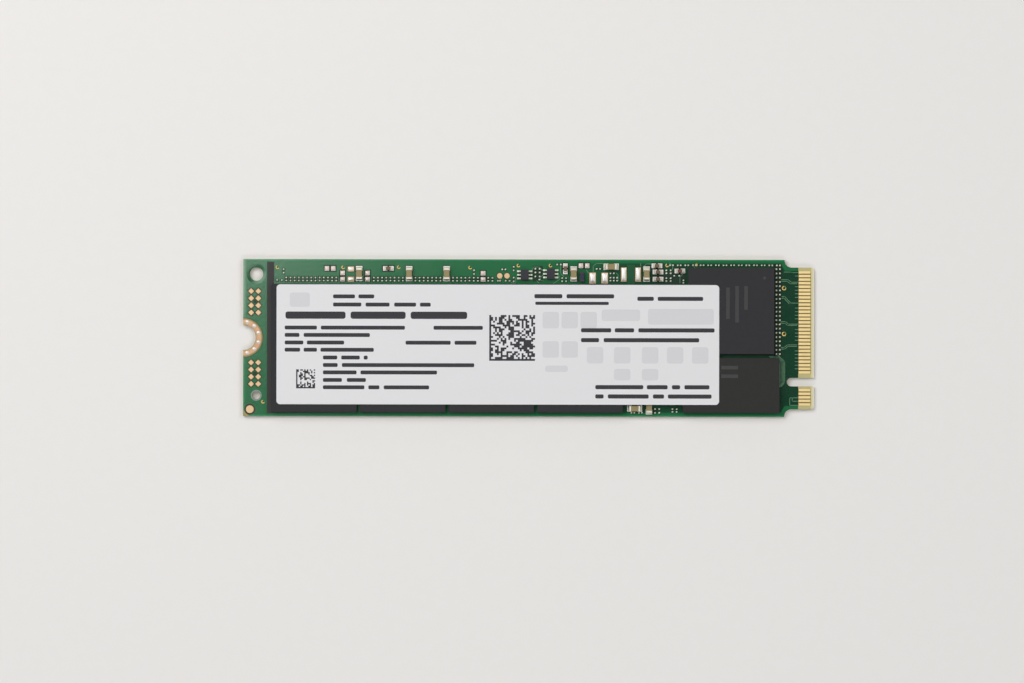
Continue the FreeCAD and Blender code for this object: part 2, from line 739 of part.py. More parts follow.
def chip_lands():
    """Solder lands under the chips and the empty pairs beside them."""
    large_span = "Sizes.large_chip_length - Sizes.large_chip_end / 2"
    small_span = "Sizes.small_chip_length - Sizes.small_chip_end / 2"
    large = ("Sizes.large_land_length", "Sizes.large_land_width", large_span)
    small = ("Sizes.small_land_length", "Sizes.small_land_width", small_span)
    large_places = strip_places((*LARGE_CHIPS.values(), *EMPTY_LARGE_LANDS))
    large_places += [(*lower_place(share, row), turned) for share, row, turned in LOWER_CHIPS.values()]
    small_places = strip_places((*SMALL_CHIPS.values(), *EMPTY_SMALL_LANDS))
    land_group("capacitor_lands", [(*spot, *large) for spot in large_places])
    land_group("small_lands", [(*spot, *small) for spot in small_places])
    coil = ("Sizes.coil_land_length", "Sizes.coil_land_width", "Sizes.coil_land_span")
    tall = ("Sizes.tall_land_length", "Sizes.tall_land_width", "Sizes.tall_land_span")
    power_pairs = [(strip_x(COIL_LANDS[0]), strip_y(COIL_LANDS[1]), False, *coil)]
    power_pairs.append((strip_x(TALL_LANDS[0]), strip_y(TALL_LANDS[1]), False, *tall))
    land_group("power_lands", power_pairs)


def fine_lands(body, name, starts, count, step, axis):
    """A run of small square lands, from one or more starting places."""
    sketch = new_sketch(body, name, lift="Sizes.board_thickness")
    for number, (x, y) in enumerate(starts, start=1):
        rectangle(sketch, f"land_{number}", x, y, "Sizes.fine_land", "Sizes.fine_land")
    pattern(body, pad(body, sketch, "Sizes.land_thickness"), count, step, axis)


def flash_lands():
    """Runs of small lands in two rows along the flash packages."""
    body = new_body("flash_lands")
    for number, (column, count) in enumerate(FLASH_LAND_RUNS, start=1):
        starts = [(strip_x(column), strip_y(row)) for row in FLASH_LAND_ROWS]
        fine_lands(body, f"run_{number}", starts, str(count), "2 * Layout.column_pitch", "X_Axis")


def controller_lands():
    """Small lands beside the controller: two columns along its plug side and pairs above it."""
    body = new_body("controller_lands")
    first_x = "Layout.controller_end + Sizes.fine_land_offset"
    first_y = "Layout.controller_y - Sizes.controller_size / 2"
    second_x = f"{first_x} + Sizes.fine_land_gap"
    fine_lands(body, "columns", ((first_x, first_y), (second_x, first_y)), "Layout.side_lands",
               "Sizes.fine_land_pitch", "Y_Axis")
    row_y = "Layout.controller_top + Sizes.pair_gap"
    row_x = f"{second_x} - (Layout.top_land_pairs - 1) * Sizes.pair_pitch"
    fine_lands(body, "row", ((row_x, row_y), (f"{row_x} - Sizes.pair_gap", row_y)), "Layout.top_land_pairs",
               "Sizes.pair_pitch", "X_Axis")


def power_switches():
    """Two six-lead switches: a moulded block with three flat leads on either side."""
    for name, (column, row) in SWITCHES.items():
        block = new_body(name)
        place(block, strip_x(column), strip_y(row), "Sizes.board_thickness")
        sketch = new_sketch(block, "block")
        rectangle(sketch, "block", "0", "0", "Sizes.switch_width", "Sizes.switch_length")
        pad(block, sketch, "Sizes.switch_height")
        leads = new_body(f"{name}_leads")
        place(leads, strip_x(column), strip_y(row), "Sizes.board_thickness")
        pair = new_sketch(leads, "pair")
        for tag, sign in (("near", "-"), ("far", "")):
            x = f"{sign}(Sizes.switch_width + Sizes.lead_length) / 2"
            rectangle(pair, tag, x, "-Sizes.lead_pitch", "Sizes.lead_length", "Sizes.lead_width")
        flat = pad(leads, pair, "Sizes.lead_thickness")
        pattern(leads, flat, str(SIDE_LEADS), "Sizes.lead_pitch", "Y_Axis")


def power_section():
    """The power converter and clock in the space under the label."""
    chip = new_body("power_chip")
    place(chip, "Layout.power_x", "Layout.power_chip_y", "Sizes.board_thickness")
    sketch = new_sketch(chip, "outline")
    rectangle(sketch, "edge", "0", "0", "Sizes.power_chip_size", "Sizes.power_chip_size")
    pad(chip, sketch, "Sizes.power_chip_height")
    for number in range(INDUCTOR_COUNT):
        y = f"Layout.inductor_y + {number} * Layout.inductor_pitch"
        chip_part(f"inductor_{number + 1}", "inductor", "Layout.power_x", y, "Sizes.board_thickness", False)
    crystal = new_body("clock_crystal")
    place(crystal, "Layout.power_x", "Layout.crystal_y", "Sizes.board_thickness")
    base = new_sketch(crystal, "base")
    rectangle(base, "base", "0", "0", "Sizes.crystal_length", "Sizes.crystal_width")
    pad(crystal, base, "Sizes.crystal_base")
    lid = new_sketch(crystal, "lid", lift="Sizes.crystal_base")
    rectangle(lid, "lid", "0", "0", "Sizes.crystal_length - 2 * Sizes.crystal_rim",
              "Sizes.crystal_width - 2 * Sizes.crystal_rim")
    pad(crystal, lid, "Sizes.crystal_lid")


def check_model():
    """Stops if any object failed or any sub-part is not a sound solid."""
    doc.recompute()
    for item in doc.Objects:
        if "Invalid" in item.State or "Error" in item.State:
            raise RuntimeError(f"{item.Name} is {item.State}")
    for node in nodes:
        if node.Shape.isNull() or not node.Shape.isValid() or not node.Shape.Solids:
            raise RuntimeError(f"{node.Label} has no sound solid")


circuit_board()
edge_contacts("edge_contacts_top", "Layout.mask_floor", UPPER_CONTACTS)
edge_contacts("edge_contacts_bottom", "Layout.contact_low", LOWER_CONTACTS)
mount_plating()
mount_vias()
probe_pads()
fiducial_pad()
test_points()
ink_band()
memory_and_controller()
label()
chip_parts()
chip_lands()
flash_lands()
controller_lands()
power_switches()
power_section()
check_model()

os.makedirs("parts", exist_ok=True)
for node in nodes:
    node.Shape.exportStep(f"parts/{node.Label}.step")
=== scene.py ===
import math
import random

import bmesh
import bpy
from mathutils import Color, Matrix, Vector


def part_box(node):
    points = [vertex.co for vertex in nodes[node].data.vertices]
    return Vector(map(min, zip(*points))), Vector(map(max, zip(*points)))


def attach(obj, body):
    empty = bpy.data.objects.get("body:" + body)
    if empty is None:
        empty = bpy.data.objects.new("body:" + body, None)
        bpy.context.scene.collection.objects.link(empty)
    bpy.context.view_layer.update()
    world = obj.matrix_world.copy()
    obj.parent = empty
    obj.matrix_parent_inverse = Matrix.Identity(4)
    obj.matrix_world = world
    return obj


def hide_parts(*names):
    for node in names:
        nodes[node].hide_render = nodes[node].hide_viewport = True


# A solid state drive card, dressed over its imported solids.
# Places and sizes are in millimetres, in the card's own frame: X towards the plug edge, Y across the card,
# Z up from the surface that it lies on. Colours are written as a screen shows them, from 0 to 255.

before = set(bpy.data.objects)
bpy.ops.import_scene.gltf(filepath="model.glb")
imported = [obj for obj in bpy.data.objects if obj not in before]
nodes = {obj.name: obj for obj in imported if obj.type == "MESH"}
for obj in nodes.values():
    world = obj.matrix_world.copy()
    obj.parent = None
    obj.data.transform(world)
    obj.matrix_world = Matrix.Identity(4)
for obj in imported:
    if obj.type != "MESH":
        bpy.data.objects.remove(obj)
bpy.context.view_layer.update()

MM = 0.001
FULL_TURN = 2 * math.pi

# Heights of the card's layers, and how far flat details stand above them
BOARD_TOP = 0.8
BOARD_MIDDLE = 0.4
LAYER_PITCH = 0.2
LABEL_TOP = 2.1
PACKAGE_TOP = 2.0
INK_LIFT = 0.004
OPENING_LIFT = 0.005
SHADE_LIFT = 0.003
TRACE_HEIGHT = 0.014

# Places on the card
RING_CENTRE = (-40.0, 0.0)
CORNER_MARK = (-39.05, -10.05)
LARGE_HOLE = (-38.15, 8.9)
SMALL_HOLE = (-38.15, -8.1)
# Points this near to each other are one
MERGE = 0.001

# The picture: the whole card from straight above, a little off its middle
VIEW_WIDTH = 143.5
VIEW_CENTRE = (-2.32, -0.5)
VIEW_TURN = math.radians(0.1)
LENS = 150
SENSOR = 36
CLIP = (10, 10000)

# Colours
GREEN_OVER_COPPER = (18, 101, 57)
GREEN_OVER_LAMINATE = (8, 60, 37)
GREEN_PLUG = (2, 51, 31)
GREEN_GRAIN = (74, 120, 92)
GREEN_TRACE = (88, 128, 97)
GREEN_EDGE = (46, 104, 66)
# Brighter mask at the edges: the mask thins there, with a painted highlight
GREEN_RIM = (46, 142, 92)
# A painted highlight: glare on the mask along the mount edge
GREEN_GLARE = (128, 160, 136)
GREEN_SHADE = (18, 50, 33)
GREEN_DEEP = (14, 78, 46)
# Painted shade and painted highlight on the slopes of the large hole's rim
RIM_PAINTED_SHADE = (18, 82, 48)
RIM_PAINTED_LIGHT = (120, 158, 132)
RIM_GREY = (134, 144, 134)
OPENING_BROWN = (46, 38, 26)
OPENING_DARK = (26, 40, 28)
LAMINATE_CUT = (158, 150, 100)
LAMINATE_LAYER = (118, 112, 70)
# Painted shade in the gaps between the contacts
LAMINATE_GAP_SHADE = (102, 78, 34)
LAMINATE_SIDE = (184, 174, 120)
LAMINATE_PALE = (214, 204, 148)
LAMINATE_TIP = (232, 230, 210)
LAMINATE_CORNER = (158, 146, 92)
GOLD = (244, 220, 158)
COPPER_GOLD = (218, 188, 146)
RING_GOLD = (206, 168, 128)
RING_PINK = (204, 156, 128)
RING_INNER = (170, 152, 116)
RING_OUTER = (136, 128, 84)
VIA_GOLD = (212, 184, 108)
# Painted shade on the unlit side of the ring vias
SHADED_VIA_GOLD = (116, 122, 78)
TIN = (238, 236, 230)
DULL_TIN = (204, 216, 194)
WARM_TIN = (216, 202, 190)
CAP_TIN = (222, 219, 204)
RING_TIN = (216, 205, 196)
MOULD_FLASH = (40, 41, 43)
MOULD_LOGIC = (40, 40, 43)
MOULD_CACHE = (38, 38, 37)
MOULD_SWITCH = (40, 41, 49)
BAND_INK = (42, 44, 41)
CERAMIC = (140, 127, 86)
CERAMIC_SMALL = (100, 84, 62)
CERAMIC_DARK = (96, 62, 48)
FUSE_BODY = (20, 32, 52)
FUSE_CAP = (58, 60, 66)
POWDER = (92, 90, 86)
FILM = (224, 224, 226)
FIELD = (208, 208, 211)
INK = (56, 56, 60)
LASER_MARK = (66, 66, 66)
FLOOR = (232, 230, 228)


def paint(colour, factor=1.0):
    """Turns a screen colour into the linear one of shaders, times a factor."""
    linear = Color([level / 255 for level in colour]).from_srgb_to_scene_linear()
    return (*[min(1.0, channel * factor) for channel in linear], 1.0)


# Node helpers: values are numbers or sockets, and each new node joins the tree of the sockets that it takes


def feed(node, inputs):
    """Sets or links inputs of a node."""
    for name, value in inputs.items():
        if isinstance(value, bpy.types.NodeSocket):
            node.id_data.links.new(value, node.inputs[name])
        else:
            node.inputs[name].default_value = value


def add_node(tree, kind, inputs=None, **settings):
    """Adds a node with its settings and inputs."""
    made = tree.nodes.new(kind)
    for name, value in settings.items():
        setattr(made, name, value)
    feed(made, inputs or {})
    return made


def maths(operation, *operands):
    """Adds a math node and gives its result."""
    tree = next(operand.id_data for operand in operands if isinstance(operand, bpy.types.NodeSocket))
    return add_node(tree, "ShaderNodeMath", dict(enumerate(operands)), operation=operation).outputs[0]


def product(first, *others):
    """Multiplies values."""
    for other in others:
        first = maths("MULTIPLY", first, other)
    return first


def rise(value, low, high):
    """Gives 0 below a low value, 1 above a high one, and a smooth rise between them."""
    inputs = {"Value": value, "From Min": low, "From Max": high}
    made = add_node(value.id_data, "ShaderNodeMapRange", inputs, interpolation_type="SMOOTHSTEP")
    return made.outputs["Result"]


def span(value, low, high):
    """Spreads a value that runs from 0 to 1 over a range."""
    made = add_node(value.id_data, "ShaderNodeMapRange", {"Value": value, "To Min": low, "To Max": high})
    return made.outputs["Result"]


def flip(value):
    """Turns 0 into 1 and 1 into 0."""
    return maths("SUBTRACT", 1.0, value)


def between(value, low, high, blur=0.08):
    """Gives 1 between two values and 0 beyond them."""
    above = rise(value, low, low + blur)
    return product(above, flip(rise(value, high - blur, high)))


def mix(share, first, second):
    """Mixes two colours, by the numbers of the node's colour sockets."""
    made = add_node(share.id_data, "ShaderNodeMix", {0: share, 6: first, 7: second}, data_type="RGBA")
    return made.outputs[2]


def places(tree):
    """Gives the place on the object in millimetres, and its X, Y and Z."""
    spot = add_node(tree, "ShaderNodeTexCoord").outputs["Object"]
    inputs = {0: spot, "Scale": 1 / MM}
    scaled = add_node(tree, "ShaderNodeVectorMath", inputs, operation="SCALE").outputs[0]
    split = add_node(tree, "ShaderNodeSeparateXYZ", {0: scaled}).outputs
    return scaled, split[0], split[1], split[2]


def noise(spot, scale, detail=3.0):
    """Gives a noise value, with so many bumps to the millimetre."""
    inputs = {"Vector": spot, "Scale": scale, "Detail": detail}
    return add_node(spot.id_data, "ShaderNodeTexNoise", inputs).outputs["Fac"]


def new_material(name, roughness=0.5, metallic=0.0, specular=0.5):
    """Starts a material and gives it with its node tree and its main shader."""
    made = bpy.data.materials.new(name)
    made.use_nodes = True
    tree = made.node_tree
    surface = tree.nodes["Principled BSDF"]
    feed(surface, {"Roughness": roughness, "Metallic": metallic, "Specular IOR Level": specular})
    return made, tree, surface


def relief(surface, height, depth):
    """Bumps a surface by a height from 0 to 1, with a depth in millimetres."""
    made = add_node(surface.id_data, "ShaderNodeBump", {"Height": height, "Distance": depth * MM})
    feed(surface, {"Normal": made.outputs["Normal"]})


# How far the gloss of a mottled surface varies, and the width of its patches in grains
GLOSS_SPREAD = 0.08
PATCH_GRAINS = 8


def mottled(name, colour, roughness, metallic=0.0, specular=0.5, scale=8.0, spread=0.15, depth=0.01):
    """A material whose colour, gloss and relief vary finely over its surface."""
    made, tree, surface = new_material(name, roughness, metallic, specular)
    spot = places(tree)[0]
    grain = noise(spot, scale)
    tone = mix(grain, paint(colour, 1 - spread), paint(colour, 1 + spread))
    patches = noise(spot, scale / PATCH_GRAINS)
    gloss = span(patches, roughness - GLOSS_SPREAD, roughness + GLOSS_SPREAD)
    feed(surface, {"Base Color": tone, "Roughness": gloss})
    relief(surface, grain, depth)
    return made


# Where the board's looks change: the start and end of each smooth change
CONTACT_ZONES = ((-4.98, 9.48), (-9.48, -7.02))
BEVEL = (39.52, 39.6)
BEVEL_TIP = (39.68, 39.98)
PLUG_OPENING = (37.2, 37.4)
PLUG_DARK = (33.4, 34.6)
TAB_START = (35.2, 36.0)
COPPER_END = (4.0, 15.0)
COPPER_MARGIN = 10.42
MARGIN_BLUR = (-0.05, 0.12)
UPPER_HALF = (0.3, 0.5)
SIDE_RIM = (10.7, 10.96)
MOUNT_RIM = (-39.96, -39.7)
# Along the mount edge, stronger towards the top: a painted highlight of glare
GLARE_EDGE = (-40.0, -39.4)
GLARE_RISE = (0.0, 6.0)
FACE_TILT = (0.4, 0.5)
MASK_SURFACE = (0.375, 0.39)
EDGE_MASK = (0.34, 0.38)
LAYER_LINE = (0.3, 0.95)
# At the corner mark: the ring around it that keeps its mask, and how far out the mask is worn
MASKED_RING = (0.72, 1.2)
WORN_CORNER = (0.85, 2.6)
# Ranges that noise or a rise is spread over
CLOUD_RANGE = (0.75, 1.1)
GLARE_RANGE = (0.1, 0.7)
LAYER_RANGE = (0.3, 1.0)
GLOSS_RANGE = (0.16, 0.23)
# Shares of the colours that are mixed in, and roughness where there is no mask
GRAIN_SHARE = 0.14
PLUG_SHARE = 0.8
RIM_SHARE = 0.8
BARE_ROUGHNESS = 0.75
# Across the large hole's rim, from painted shade to painted highlight, and out from the middle of the
# mounting ring
RIM_SLOPE = (-0.2, 1.9)
RIM_GRAIN = 0.3
RING_MOTTLE = (0.38, 0.62)
RING_INNER_EDGE = (1.78, 2.15)
RING_OUTER_EDGE = (2.42, 2.66)


def offsets(x, y, place):
    """Gives the steps along X and Y from a place."""
    return maths("SUBTRACT", x, place[0]), maths("SUBTRACT", y, place[1])


def distance(along, across):
    """Gives the length of a line from its steps along X and Y."""
    squares = maths("ADD", product(along, along), product(across, across))
    return maths("SQRT", squares)


def plug_laminate(x, y):
    """Bare laminate of the plug tab: painted shade in the gaps between contacts, pale at the notch, the ends
    and the bevel.
    """
    contacts = maths("MAXIMUM", *[between(y, low, high) for low, high in CONTACT_ZONES])
    bevel = rise(x, *BEVEL)
    # The gaps between contacts get a painted brown shade
    brown = product(contacts, flip(bevel))
    tip = mix(rise(x, *BEVEL_TIP), paint(LAMINATE_PALE), paint(LAMINATE_TIP))
    pale = mix(bevel, paint(LAMINATE_SIDE), tip)
    return mix(brown, pale, paint(LAMINATE_GAP_SHADE))


def marked_corner(x, y, opened, green):
    """The mask and its openings at the corner mark: dark near the mark, worn at the card's corner."""
    along, across = offsets(x, y, CORNER_MARK)
    masked = between(distance(along, across), *MASKED_RING, blur=0.1)
    dark = product(opened, flip(masked))
    outward = product(maths("ADD", along, across), -1.0)
    wear_and_glare = mix(between(outward, *WORN_CORNER, blur=0.4), green, paint(LAMINATE_CORNER))
    return mix(dark, wear_and_glare, paint(OPENING_BROWN))


def green_mask(spot, x, y, z):
    """The mask's green: dark over bare laminate and at the plug, bright at the rims where the mask thins and
    with a painted highlight, and a painted highlight of glare along the mount edge, stronger towards the
    top.
    """
    across = maths("ABSOLUTE", y)
    margin = maths("SUBTRACT", COPPER_MARGIN, rise(x, *TAB_START))
    inside = flip(rise(maths("SUBTRACT", across, margin), *MARGIN_BLUR))
    cloud = span(noise(spot, scale=0.35, detail=4.0), *CLOUD_RANGE)
    bare = product(rise(x, *COPPER_END), inside, cloud, rise(z, *UPPER_HALF))
    green = mix(bare, paint(GREEN_OVER_COPPER), paint(GREEN_OVER_LAMINATE))
    grain = noise(spot, scale=9.0, detail=4.0)
    green = mix(product(grain, GRAIN_SHARE), green, paint(GREEN_GRAIN))
    plug_end = product(bare, rise(x, *PLUG_DARK), PLUG_SHARE)
    green = mix(plug_end, green, paint(GREEN_PLUG))
    # Brighter near the side and mount edges: thinner mask there, and a painted highlight
    rim = maths("MAXIMUM", rise(across, *SIDE_RIM), flip(rise(x, *MOUNT_RIM)))
    green = mix(product(rim, RIM_SHARE), green, paint(GREEN_RIM))
    # A painted highlight of glare along the mount edge, stronger towards the top
    upward = span(rise(y, *GLARE_RISE), *GLARE_RANGE)
    wear_and_glare = product(flip(rise(x, *GLARE_EDGE)), upward)
    return mix(wear_and_glare, green, paint(GREEN_GLARE))


def cut_edge(spot, z, from_middle):
    """The laminate's layers on a cut edge, between two lines of mask."""
    wave = maths("SINE", product(z, FULL_TURN / LAYER_PITCH))
    strength = span(noise(spot, scale=1.4), *LAYER_RANGE)
    layers = product(rise(wave, *LAYER_LINE), strength)
    edge = mix(layers, paint(LAMINATE_CUT), paint(LAMINATE_LAYER))
    return mix(rise(from_middle, *EDGE_MASK), edge, paint(GREEN_EDGE))


def board_material():
    """Green solder mask on the faces, bare laminate in its openings and on the cut edges."""
    made, tree, surface = new_material("solder_mask", specular=0.7)
    spot, x, y, z = places(tree)
    normal = add_node(tree, "ShaderNodeNewGeometry").outputs["True Normal"]
    upright = add_node(tree, "ShaderNodeSeparateXYZ", {0: normal}).outputs[2]
    on_face = rise(maths("ABSOLUTE", upright), *FACE_TILT)
    from_middle = maths("ABSOLUTE", maths("SUBTRACT", z, BOARD_MIDDLE))
    opened = flip(rise(from_middle, *MASK_SURFACE))
    tab_opened = product(rise(x, *PLUG_OPENING), opened)
    masked = marked_corner(x, y, opened, green_mask(spot, x, y, z))
    face = mix(tab_opened, masked, plug_laminate(x, y))
    edge = cut_edge(spot, z, from_middle)
    dull = maths("MAXIMUM", opened, flip(on_face))
    gloss = span(noise(spot, scale=0.6, detail=2.0), *GLOSS_RANGE)
    roughness = maths("MAXIMUM", gloss, product(dull, BARE_ROUGHNESS))
    feed(surface, {"Base Color": mix(on_face, edge, face), "Roughness": roughness})
    relief(surface, noise(spot, scale=2.4, detail=2.0), depth=0.006)
    return made


def rim_material():
    """Green mask over the swollen rim of a hole, with painted shade on the side towards the card's corner
    and a painted highlight on the side towards its middle.
    """
    made, tree, surface = new_material("hole_rim", roughness=0.36, specular=0.4)
    spot, x, y, _ = places(tree)
    sloping = maths("SUBTRACT", maths("SUBTRACT", x, y), LARGE_HOLE[0] - LARGE_HOLE[1])
    colour = mix(rise(sloping, *RIM_SLOPE), paint(RIM_PAINTED_SHADE), paint(RIM_PAINTED_LIGHT))
    grain = product(noise(spot, scale=5.0), RIM_GRAIN)
    feed(surface, {"Base Color": mix(grain, colour, paint(GREEN_OVER_COPPER))})
    return made


def ring_material():
    """Gold plating around the mounting notch: mottled, duller at the notch and olive towards the mask."""
    made, tree, surface = new_material("ring_gold", roughness=0.48, metallic=0.45)
    spot, x, y, _ = places(tree)
    reach = distance(*offsets(x, y, RING_CENTRE))
    mottle = rise(noise(spot, scale=1.1, detail=2.0), *RING_MOTTLE)
    gold = mix(mottle, paint(RING_GOLD), paint(RING_PINK))
    gold = mix(rise(reach, *RING_INNER_EDGE), paint(RING_INNER), gold)
    gold = mix(rise(reach, *RING_OUTER_EDGE), gold, paint(RING_OUTER))
    feed(surface, {"Base Color": gold})
    relief(surface, noise(spot, scale=3.0), depth=0.006)
    return made


# How dark the film's fibre is, and its share of the film's relief
FIBRE_SHADE = 0.94
FIBRE_RELIEF = 0.02


def film_material():
    """White satin film, slightly uneven and with a faint fibre."""
    made, tree, surface = new_material("label_film", roughness=0.46, specular=0.35)
    spot = places(tree)[0]
    fibre = noise(spot, scale=12.0, detail=5.0)
    feed(surface, {"Base Color": mix(fibre, paint(FILM, FIBRE_SHADE), paint(FILM))})
    wave = noise(spot, scale=0.14, detail=1.0)
    relief(surface, maths("ADD", wave, product(fibre, FIBRE_RELIEF)), depth=0.05)
    return made


# Each by its name, colour and roughness, and by what differs from the usual
MATERIALS = {
    "board": board_material(),
    "film": film_material(),
    "gold": mottled("gold_contacts", GOLD, 0.42, metallic=0.6, scale=5.0, spread=0.06, depth=0.004),
    "copper": mottled("gold_pads", COPPER_GOLD, 0.46, metallic=0.5, scale=5.0, spread=0.08, depth=0.006),
    "ring": ring_material(),
    "via": mottled("gold_vias", VIA_GOLD, 0.5, metallic=0.4, scale=5.0, spread=0.1, depth=0.004),
    "shaded_via": mottled("shaded_vias", SHADED_VIA_GOLD, 0.5, specular=0.3, scale=5.0, depth=0.004),
    "tin": mottled("solder", TIN, 0.4, metallic=0.7, scale=7.0, spread=0.06),
    "cap_tin": mottled("cap_solder", CAP_TIN, 0.44, metallic=0.6, scale=7.0, spread=0.08),
    "ring_tin": mottled("ring_solder", RING_TIN, 0.42, metallic=0.55, scale=3.0, spread=0.2, depth=0.012),
    "dull": mottled("dull_solder", DULL_TIN, 0.46, metallic=0.6, scale=3.0, spread=0.22, depth=0.012),
    "warm": mottled("warm_solder", WARM_TIN, 0.46, metallic=0.6, scale=3.0, spread=0.22, depth=0.012),
    "flash": mottled("flash_mould", MOULD_FLASH, 0.6, specular=0.26, scale=11.0, spread=0.22, depth=0.012),
    "logic": mottled("logic_mould", MOULD_LOGIC, 0.58, specular=0.26, scale=11.0, spread=0.2),
    "cache": mottled("cache_mould", MOULD_CACHE, 0.6, specular=0.26, scale=11.0, spread=0.22, depth=0.012),
    "switch": mottled("switch_mould", MOULD_SWITCH, 0.5, specular=0.35, scale=9.0, spread=0.2),
    "band": mottled("black_ink", BAND_INK, 0.45, specular=0.4, scale=7.0, depth=0.004),
    "ceramic": mottled("chip_ceramic", CERAMIC, 0.5),
    "small": mottled("small_chip_ceramic", CERAMIC_SMALL, 0.5),
    "brown": mottled("chip_brown", CERAMIC_DARK, 0.5),
    "fuse": mottled("fuse_body", FUSE_BODY, 0.4, spread=0.2),
    "cap": mottled("fuse_caps", FUSE_CAP, 0.45, metallic=0.3),
    "powder": mottled("inductor_body", POWDER, 0.65, scale=14.0, spread=0.3, depth=0.015),
    "print": mottled("label_ink", INK, 0.6, specular=0.2, scale=9.0, depth=0.001),
    "field": mottled("label_fields", FIELD, 0.5, specular=0.3, scale=9.0, spread=0.03, depth=0.001),
    "mark": mottled("laser_mark", LASER_MARK, 0.7, specular=0.2, scale=12.0, spread=0.3, depth=0.004),
    "trace": mottled("masked_copper", GREEN_TRACE, 0.36, specular=0.35, scale=6.0, spread=0.12, depth=0.003),
    "rim": rim_material(),
    "grey_rim": mottled("grey_hole_rim", RIM_GREY, 0.5, specular=0.3, scale=6.0, depth=0.006),
    "opening": mottled("mask_opening", OPENING_DARK, 0.7, specular=0.2, scale=9.0, spread=0.25, depth=0.006),
    "frame": mottled("pad_frame", OPENING_BROWN, 0.7, specular=0.2, scale=9.0, spread=0.2, depth=0.006),
    "shade": mottled("dark_mask", GREEN_SHADE, 0.4, specular=0.3, scale=5.0, spread=0.25, depth=0.004),
    "deep": mottled("deep_mask", GREEN_DEEP, 0.36, specular=0.35, scale=5.0, depth=0.004),
    "floor": mottled("floor", FLOOR, 0.85, specular=0.1, scale=0.6, spread=0.012, depth=0.004),
}


# Steps in a round corner, the thickness of a flat sheet, and the bend at which an edge is sharp
CORNER_STEPS = 3
SHEET = 0.006
SHARP_ANGLE = math.radians(55)
BOX_CORNERS = [(a, b, c) for a in (0, 1) for b in (0, 1) for c in (0, 1)]


def around(x, y, radius, angle):
    """Gives a place on a circle."""
    return x + radius * math.cos(angle), y + radius * math.sin(angle)


def add_object(name, data):
    """Adds an object to the scene."""
    made = bpy.data.objects.new(name, data)
    bpy.context.scene.collection.objects.link(made)
    return made


